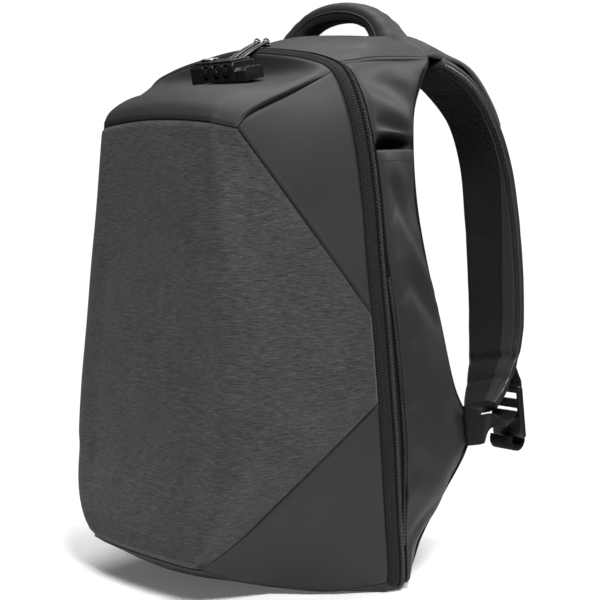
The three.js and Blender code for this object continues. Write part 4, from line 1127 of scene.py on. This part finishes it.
def pad_thickness(s, along):
    rim = np.minimum(np.minimum(1, (1 - abs(s)) * 4), np.minimum(along * 8, (1 - along) * 8))
    groove = np.exp(-((s / 0.075) ** 2)) * 3.4
    for place in CHANNELS:
        bent = along - place - 0.05 * abs(s)
        groove = np.maximum(groove, np.exp(-((bent / 0.02) ** 2)) * 3.0 * np.minimum(1, (1 - abs(s)) * 6))
    return PAD_RIM + (PAD_THICKNESS - PAD_RIM) * np.sin(np.pi / 2 * rim) - groove + PAD_PUFF * rim


def pad_shift(s, along, k):
    top, centre = rear_at(PAD_TOP)[0], rear_at(TOP_CENTRE)[0]
    arch = centre[2] - YOKE_DROP + PAD_TUCK - top[2]
    bow = centre[1] - PAD_RIM - top[1]
    return (smooth((k - 9) / (PAD_TOP - 9)) * (1 - s * s))[..., None] * np.array([0, bow, arch])


LOWER_GRID = back_grid(BASE_CORNER, WEB_CORNER, 60, 90, lambda s, along: LOWER_THICKNESS, lower_shift)
coated("lower_back", LOWER_GRID, dip=0.9)
PAD_GRID = back_grid(WEB_CORNER, PAD_TOP, 170, 120, pad_thickness, pad_shift)
sewn("back_pad", PAD_GRID, PAD_MESH, "mesh", "back_pad", padded=0.85, dip=1.0, dip_width=5)


# Grab handle: a padded tube with a sewn edge along each side.
def bezier(points, count):
    a, b, c, d = (np.asarray(p, float) for p in points)
    t = np.linspace(0, 1, count)[:, None]
    return a * (1 - t) ** 3 + 3 * b * t * (1 - t) ** 2 + 3 * c * t**2 * (1 - t) + d * t**3


def handle_route():
    foot = HANDLE_SPAN / 2
    y = rear_at(TOP_CENTRE)[0][1] + HANDLE_OVERHANG - HANDLE_WIDTH / 2
    top = yoke_rows(200, YOKE_TOP)[:, :YOKE_TOP].reshape(-1, 3)
    near = top[np.argmin(np.hypot(top[:, 0] - foot, top[:, 1] - y))]
    seat = near[2] - HANDLE_THICKNESS
    peak = rear_at(TOP_CENTRE)[0][2] + HANDLE_RISE - HANDLE_THICKNESS / 2
    shoulder = seat + (peak - seat) * 0.8
    right = [(foot, y, seat), (foot * 0.84, y, shoulder), (foot * 0.4, y, peak)]
    left = [(-x, y, z) for x, y, z in right]
    middle = (0, y, peak)
    return np.vstack([bezier([*left, middle], 40), bezier([middle, *right[::-1]], 40)[1:]])


def padded_sections(path, side, widths, thicknesses, square, round_, count=36):
    """Rings of a cushioned strip: flat-sided ellipses along a path."""
    _, across, up = frames_along(path, side)
    angle = np.linspace(0, 2 * math.pi, count, endpoint=False)
    a = np.sign(np.cos(angle)) * np.abs(np.cos(angle)) ** square
    b = np.sign(np.sin(angle)) * np.abs(np.sin(angle)) ** round_
    ring = across[:, None] * a[:, None] * widths[:, None, None] / 2
    ring = ring + up[:, None] * b[:, None] * thicknesses[:, None, None] / 2
    return path[:, None] + ring


HANDLE_COUNT = 110
GRIP_SWELL, FOOT_SWELL = 1.26, 0.85  # padding over the CAD's thickness: on the grip, and further at the feet
GRIP_INWARD, FOOT_INWARD = 1.6, 2.4  # how far the padding's middle lies inside the CAD's
HANDLE_STATION = np.linspace(0, 1, HANDLE_COUNT)
FROM_MIDDLE = abs(HANDLE_STATION - 0.5)
HANDLE_FOOT = smooth(FROM_MIDDLE * 4 - 0.9)  # from 0 on the grip to 1 at the feet
HANDLE_WIDTHS = HANDLE_WIDTH + HANDLE_FLARE * HANDLE_FOOT
HANDLE_WRINKLE = 1 + 0.03 * np.sin(HANDLE_STATION * 92) * smooth(FROM_MIDDLE * 5 - 0.5)
HANDLE_THICKNESSES = HANDLE_THICKNESS * HANDLE_WRINKLE * (GRIP_SWELL + FOOT_SWELL * HANDLE_FOOT)
HANDLE_ROUTE = resampled(handle_route(), HANDLE_COUNT)
HANDLE_INWARD = (GRIP_INWARD + FOOT_INWARD * HANDLE_FOOT)[:, None]
HANDLE_PATH = HANDLE_ROUTE + frames_along(HANDLE_ROUTE, BACKWARD)[2] * HANDLE_INWARD
HANDLE_RINGS = padded_sections(HANDLE_PATH, BACKWARD, HANDLE_WIDTHS, HANDLE_THICKNESSES, 0.55, 0.8)
dress(loft("handle_padding", HANDLE_RINGS), COATED, "coated", "handle", padded=0.9)
_, HANDLE_ACROSS, HANDLE_UP = frames_along(HANDLE_PATH, BACKWARD)
for side, outwards in (("front", -HANDLE_ACROSS), ("rear", HANDLE_ACROSS)):
    half, deep = HANDLE_WIDTHS[:, None] / 2, HANDLE_THICKNESSES[:, None] / 2
    line = HANDLE_PATH + outwards * 0.9 * half + HANDLE_UP * 0.66 * deep
    stitches("handle_stitches_" + side, [(line, HANDLE_UP * 0.6 + outwards)], 3.8, 2.7, 0.8, 0.3)
    welt = HANDLE_PATH + outwards * (half - 0.3)
    dress(tube("handle_welt_" + side, welt, 1.0, BACKWARD), COATED, "coated")


# Shoulder straps. Stops: x, stand-off, height, width and turn, as in the CAD model.
STRAP_STOPS = np.array(
    [
        (0.5, -0.12, 0.99, 0.93, 0.05),
        (0.51, 0.36, 0.945, 1.0, 0.15),
        (0.52, 0.7, 0.872, 1.0, 0.25),
        (0.53, 0.868, 0.785, 1.0, 0.2),
        (0.535, 0.956, 0.675, 1.0, 0.13),
        (0.545, 1.0, 0.55, 0.98, 0.08),
        (0.555, 1.0, 0.447, 0.94, 0.06),
        (0.58, 0.93, 0.383, 0.85, 0.1),
        (0.615, 0.78, 0.324, 0.66, 0.12),
        (0.655, 0.63, 0.292, 0.46, 0.12),
    ]
)
YOKE_BACK = rear_at(TOP_CENTRE)[0][1] + YOKE_TURN + SEAM_GAP
STRAP_COUNT = 190
STRAP_SQUARE, STRAP_ROUND = 0.34, 0.8
PINCHES = ((7.05, 0.45, 0.16), (7.75, 0.3, 0.12), (1.2, 0.12, 0.12), (4.3, 0.08, 0.1))
ROOT_LINES = ((-4, 0.3), (1, 1.6), (6, 3.2), (11, 4.4))  # behind the yoke's edge and over its top
ROOT_MIDDLE, ROOT_HALF = 76, 25  # where the root's cover starts, across the yoke
ROOT_END = 30  # place along the strap where it ends
ROOT_STOPS = ((8, 0.98, 6.0), (18, 1.0, 5.8), (ROOT_END, 1.0, 2.6), (ROOT_END + 12, 1.0, 0.5))
TAPE_END = 0.86
MESH_START, BAND_HALF, WELT_AT = -0.9, 0.36, 0.985  # shares of the strap's half width
WELT_RADIUS = 1.7


def strap_route(count):
    """Points down the strap, the way it faces, its width and its place between the stops."""
    points = STRAP_STOPS[:, :3] * [HALF_WIDTH, STRAP_REACH, HEIGHT] + [0, YOKE_BACK, 0]
    k = np.linspace(0.35, len(STRAP_STOPS) - 1, count)
    index = np.arange(len(STRAP_STOPS))
    widths = STRAP_WIDTH * np.interp(k, index, STRAP_STOPS[:, 3])
    turns = np.interp(k, index, STRAP_STOPS[:, 4])
    sides = np.stack([np.ones(count), -turns, np.zeros(count)], axis=1)
    return through(points, k), sides, widths, k


def strap_thickness(k):
    thick = np.full(len(k), float(STRAP_THICKNESS))
    for place, depth, width in PINCHES:
        thick *= 1 - depth * np.exp(-(((k - place) / width) ** 2))
    return thick


STRAP_PATH, STRAP_SIDES, STRAP_WIDTHS, STRAP_K = strap_route(STRAP_COUNT)
STRAP_THICKNESSES = strap_thickness(STRAP_K)
STRAP_RINGS = padded_sections(
    STRAP_PATH, STRAP_SIDES, STRAP_WIDTHS, STRAP_THICKNESSES, STRAP_SQUARE, STRAP_ROUND, 44
)
TAPE_START = TAPE_END - 0.04 - 0.4 * smooth((STRAP_K - 2.6) / 2.6)  # the tape widens down the strap


def strap_face(share, lift, inner=True):
    """Line along the strap at a share of its half width, on its inner or outer face."""
    _, across, up = frames_along(STRAP_PATH, STRAP_SIDES)
    share = np.broadcast_to(share, STRAP_COUNT)
    depth = (1 - np.abs(share) ** (2 / STRAP_SQUARE)) ** (STRAP_ROUND / 2)
    out = -up if inner else up
    height = (STRAP_THICKNESSES / 2 * depth + lift)[:, None]
    return STRAP_PATH + across * (share * STRAP_WIDTHS / 2)[:, None] + out * height, out


def face_strip(name, start, end, inner, lift, face, columns=10, thick=0.5, first=0):
    """A band sewn on a strap's face, between two shares of its half width."""
    grid = np.stack([strap_face(s, lift, inner)[0] for s in np.linspace(start, end, columns)], axis=1)
    edge = np.stack([strap_face(s, lift - thick, inner)[0] for s in (start, end)], axis=1)
    grid = np.concatenate([edge[:, :1], grid, edge[:, 1:]], axis=1)[first:] * face
    return to_mesh(name, grid.reshape(-1, 3), grid_faces(*grid.shape[:2]), cloth_uv(grid).reshape(-1, 2))


def root_grid():
    """Cloth that runs from the yoke's top over the start of the strap."""
    rear = rear_at(np.linspace(YOKE_SEAM, LAST - YOKE_SEAM, 200))
    rear = rear[np.argsort(rear[:, 0])]
    columns = []
    for share in np.linspace(-1, 1, 30):
        x = ROOT_MIDDLE + ROOT_HALF * share
        y, z = (np.interp(x, rear[:, 0], rear[:, i]) for i in (1, 2))
        start = [(x, y + back, z + over * (1 - share**6)) for back, over in ROOT_LINES]
        on_strap = [strap_face(share * wide, lift, False)[0][i] for i, wide, lift in ROOT_STOPS]
        columns.append([*start, *on_strap])
    return refine(np.swapaxes(np.array(columns), 0, 1), 60, 44, False, False)


def root_folds(points):
    return 0.9 * np.sin(points[..., 0] / 7 + points[..., 1] / 11) * np.sin(points[..., 1] / 13)


for side, face in SIDES:
    dress(loft("strap_padding_" + side, STRAP_RINGS * face), COATED, "coated", "strap_" + side, padded=0.85)
    lining = face_strip("strap_mesh_" + side, MESH_START, TAPE_START, True, 0.5, face, 30)
    dress(lining, STRAP_MESH, "mesh")
    tape = face_strip("strap_tape_" + side, TAPE_START * 0.97, TAPE_END, True, 0.9, face)
    dress(tape, HERRINGBONE, "woven")
    for edge, sign in (("outer", 1), ("inner", -1)):
        line, _ = strap_face(sign * WELT_AT, 0.0)
        # Welts in the lighter cloth, which paints a highlight along both edges of the strap.
        dress(tube("strap_welt_" + edge + "_" + side, line * face, WELT_RADIUS, UP), WELT_HIGHLIGHT_CLOTH, "coated")
        line, out = strap_face(sign * (TAPE_END + 0.06), 0.4)
        stitches("strap_stitches_" + edge + "_" + side, [(line * face, out * face)], 4.2, 3.0, 0.7)
    band = face_strip("strap_band_" + side, -BAND_HALF, BAND_HALF, False, 0.9, face, 12, 0.9, ROOT_END + 14)
    dress(band, WEBBING, "woven")
    sewn("strap_root_" + side, root_grid() * face, COATED, "coated", dip=1.4, rim=2, shape=root_folds)


# Finer copies of the hard pieces and the webbing.
TAB_FRONT, TAB_HIGH = 110, 125  # its front edge lies before one, and its upper corners above the other
TAB_TRIM_HIGH, TAB_TRIM_LOW = 3, 8


def slim_tab(points):
    """The sewn tab, narrower towards its lower end; the trimmed edge keeps to the bag's side."""
    trim = np.where(points[:, 2] > TAB_HIGH, TAB_TRIM_HIGH, TAB_TRIM_LOW)
    moved = np.where(points[:, 1] < TAB_FRONT, trim, 0)
    points[:, 0] -= np.sign(points[:, 0]) * moved * 0.14
    points[:, 1] += moved
    return points


def copied(name, material, slot, bevel, body="root", segments=3, reshape=None):
    """A finer copy of a CAD node, with rounded edges."""
    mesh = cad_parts[name].data.copy()
    made = placed(name + "_fine", mesh)
    shape = bmesh.new()
    shape.from_mesh(mesh)
    bmesh.ops.remove_doubles(shape, verts=shape.verts, dist=0.01 * MM)
    flat = [e for e in shape.edges if len(e.link_faces) == 2 and e.calc_face_angle(0) < math.radians(1)]
    bmesh.ops.dissolve_edges(shape, edges=flat, use_verts=False)
    if reshape:
        points = reshape(np.array([vertex.co for vertex in shape.verts]) / MM)
        for vertex, place in zip(shape.verts, points):
            vertex.co = place * MM
    shape.to_mesh(mesh)
    shape.free()
    rounded = made.modifiers.new("rounded", "BEVEL")
    rounded.width = bevel * MM
    rounded.segments = segments
    rounded.limit_method = "ANGLE"
    rounded.angle_limit = math.radians(32)
    rounded.harden_normals = True
    shade_smooth(mesh)
    dress(made, material, slot, name, body=body)


COPIES = [
    ("ladder_lock_", BUCKLE, "buckle", 1.1, None),
    ("strap_tab_", TAB_WEB, "coated", 0.9, slim_tab),
    ("adjust_web_", WEB_CUT, "woven", 0.4, None),
    ("strap_web_", WEB_CUT, "woven", 0.4, None),
]
for name, material, slot, bevel, reshape in COPIES:
    for side, _ in SIDES:
        copied(name + side, material, slot, bevel, reshape=reshape)


# Lock, sliders and pulls.
def node_points(name):
    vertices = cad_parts[name].data.vertices
    places = np.zeros(3 * len(vertices))
    vertices.foreach_get("co", places)
    return places.reshape(-1, 3) / MM


def main_axes(points):
    """Middle of a box-like node and its axes, the longest first."""
    corners = np.unique(np.round(points, 2), axis=0)
    _, _, axes = np.linalg.svd(corners - corners.mean(axis=0), full_matrices=False)
    return (corners.min(axis=0) + corners.max(axis=0)) / 2, axes


PLATE_OUT = main_axes(node_points("lock_plate"))[1][2]
LOCK_OUT = PLATE_OUT * np.sign(PLATE_OUT[2])
LOCK_UP = unit(np.cross(LOCK_OUT, SIDEWAYS))
BARREL_MIDDLE = node_points("key_barrel").mean(axis=0)
PULL_ARCH = 1.0  # how far a zip pull bows outwards
PULL_SETTLE = 2.4  # how far its end lies down on the slider
PULL_WIDTH, PULL_SQUARE, PULL_WIRE = 7.2, 0.55, 1.1
GRIP_RADIUS, GRIP_FLAT = 2.6, 0.36
SLIDER_HALF, SLIDER_RADIUS, SLIDER_FLAT = 4.2, 3.1, 0.42
BAIL_WIRE, BAIL_HALF = 0.75, 3.0


def lock_ring(name, lift, radius, wire, material):
    """A ring of wire round the key's barrel."""
    angle = np.linspace(0, 2 * math.pi, 49)[:-1]
    ring = radius * (np.cos(angle)[:, None] * SIDEWAYS + np.sin(angle)[:, None] * LOCK_UP)
    path = BARREL_MIDDLE + LOCK_OUT * lift + ring
    dress(tube(name, np.vstack([path, path[:1]]), wire, LOCK_OUT, 10, caps=False), material, "lock_steel")


def pull_loop(side):
    """A zip pull: a wire loop, arched between the lock's notch and the slider's bail."""
    points = node_points("zip_pull_" + side)
    middle, axes = main_axes(points)
    along = axes[0] * np.sign(axes[0] @ LOCK_UP)
    across = unit(np.cross(along, LOCK_OUT))
    out = np.cross(across, along)
    length = np.ptp(points @ along)
    angle = np.linspace(0, 2 * math.pi, 72)
    x = np.sign(np.cos(angle)) * np.abs(np.cos(angle)) ** PULL_SQUARE * (length - 1.6) / 2
    y = np.sin(angle) * PULL_WIDTH / 2

    def raised(x):
        return PULL_ARCH * np.cos(np.pi * x / length) - PULL_SETTLE * (0.5 + x / length)

    path = middle + x[:, None] * along + y[:, None] * across + raised(x)[:, None] * out
    wire = tube("zip_pull_loop_" + side, path, PULL_WIRE, out, 10, caps=False)
    dress(wire, LOCK_BLACK, "lock_black", "zip_pull_" + side)
    grip = [middle + along * at + out * raised(at) for at in length * np.linspace(-0.42, 0.1, 24)]
    tongue = tube("zip_pull_grip_" + side, grip, GRIP_RADIUS, across, 12, GRIP_FLAT)
    dress(tongue, LOCK_BLACK, "lock_black")


def slider(side):
    """A zip slider: a rounded body with a round bail."""
    points = node_points("zip_slider_" + side)
    low, high = points.min(axis=0), points.max(axis=0)
    seat = np.array([(low[0] + high[0]) / 2, (low[1] + high[1]) / 2, low[2]])
    path = [seat + SIDEWAYS * x + UP * 1.2 for x in np.linspace(-SLIDER_HALF, SLIDER_HALF, 15)]
    wide = SLIDER_RADIUS * (1 - (np.linspace(-1, 1, 15)) ** 4 * 0.55)
    body = tube("zip_slider_body_" + side, path, wide, BACKWARD, 16, SLIDER_FLAT)
    dress(body, LOCK_BLACK, "lock_black", "zip_slider_" + side)
    rise = (high[2] - low[2]) * 0.5
    arch = np.linspace(0, math.pi, 24)
    bail = [
        seat + BACKWARD * (BAIL_HALF * math.cos(a)) + UP * (2.0 + rise * math.sin(a) ** 0.7) for a in arch
    ]
    dress(tube("zip_bail_" + side, bail, BAIL_WIRE, SIDEWAYS, 10), STEEL_DARK, "lock_steel")


lock_ring("key_ring", 2.2, 6.6, 1.2, STEEL_BRIGHT)
lock_ring("key_ring_inner", 1.3, 4.3, 0.35, LOCK_BLACK)
copied("lock_body", LOCK_BLACK, "lock_black", 0.9)
copied("lock_plate", LOCK_STEEL, "lock_steel", 0.3)
for side in ("left", "right"):
    pull_loop(side)
    slider(side)
for i, body in enumerate(("first_dial", "second_dial", "third_dial")):
    copied("dial_" + str(i + 1), LOCK_BLACK, "lock_black", 0.15, body, 2)
copied("key_barrel", LOCK_STEEL, "lock_steel", 0.2, "barrel", 2)


# Studio, in metres: pale floor, soft light from above and the camera's side, and the photograph's view.
CAMERA_PLACE, CAMERA_TARGET = (0.9013, -0.7602, 0.3278), (0.029, 0.028, 0.227)
CAMERA_LENS, CAMERA_SENSOR = 84, 36
FLOOR_MIDDLE = (0.08, -0.14, 0)
FLOOR_DROP = 0.0006
LIGHTS = [  # name, place, target, size and power
    ("key", (-0.25, 0.1, 1.9), (0, 0.02, 0.3), (1.4, 1.2), 37),
    ("side", (0.88, -0.42, 1.15), (0, 0, 0.36), (0.4, 0.4), 24),
    ("back", (0.6, 1.7, 1.5), (0, 0, 0.3), (0.9, 0.7), 28),
]


def floor_material():
    """Pale floor that fades out to the white surround."""
    made, tree, surface = shader("floor", grey(0.9), 0.75, Specular_IOR_Level=0.2)
    surface.inputs["Emission Color"].default_value = (1, 1, 1, 1)
    surface.inputs["Emission Strength"].default_value = 0.1
    around = place_on(tree)
    speck = noise(tree, around, 40.0, 2)
    reach = node(tree, "VectorMath", {0: around, 1: FLOOR_MIDDLE}, operation="DISTANCE").outputs["Value"]
    drive(
        surface,
        Base_Color=ramp(tree, speck, (0.3, grey(0.88)), (0.7, grey(0.92))),
        Alpha=ranged(tree, reach, 0.3, 0.7, 1.0, 0.0),
    )
    return made


def floor():
    mesh = bpy.data.meshes.new("floor")
    mesh.from_pydata([(-2, -2, 0), (2, -2, 0), (2, 2, 0), (-2, 2, 0)], [], [(0, 1, 2, 3)])
    mesh.materials.append(floor_material())
    made = placed("floor", mesh)
    made.location.z = -FLOOR_DROP


def aimed(name, data, place, target):
    """A light or camera that looks from its place at a target."""
    made = placed(name, data)
    made.location = place
    made.rotation_mode = "QUATERNION"
    made.rotation_quaternion = (Vector(target) - Vector(place)).to_track_quat("-Z", "Y")
    return made


def studio():
    """A white surround for the view, and a dimmer one for the light that it sheds."""
    world = bpy.data.worlds.new("studio")
    bpy.context.scene.world = world
    world.use_nodes = True
    tree = world.node_tree
    background = tree.nodes["Background"]
    background.inputs["Color"].default_value = (1, 1, 1, 1)
    seen = node(tree, "LightPath").outputs["Is Camera Ray"]
    drive(background, Strength=ranged(tree, seen, 0.0, 1.0, 0.08, 1.05))
    for name, place, target, size, power in LIGHTS:
        light = bpy.data.lights.new(name, "AREA")
        light.shape = "RECTANGLE"
        light.size, light.size_y = size
        light.energy = power
        aimed(name, light, place, target)
    bpy.context.scene.view_settings.view_transform = "Standard"


def camera():
    data = bpy.data.cameras.new("camera")
    data.sensor_width = CAMERA_SENSOR
    data.lens = CAMERA_LENS
    bpy.context.scene.camera = aimed("camera", data, CAMERA_PLACE, CAMERA_TARGET)


floor()
studio()
camera()
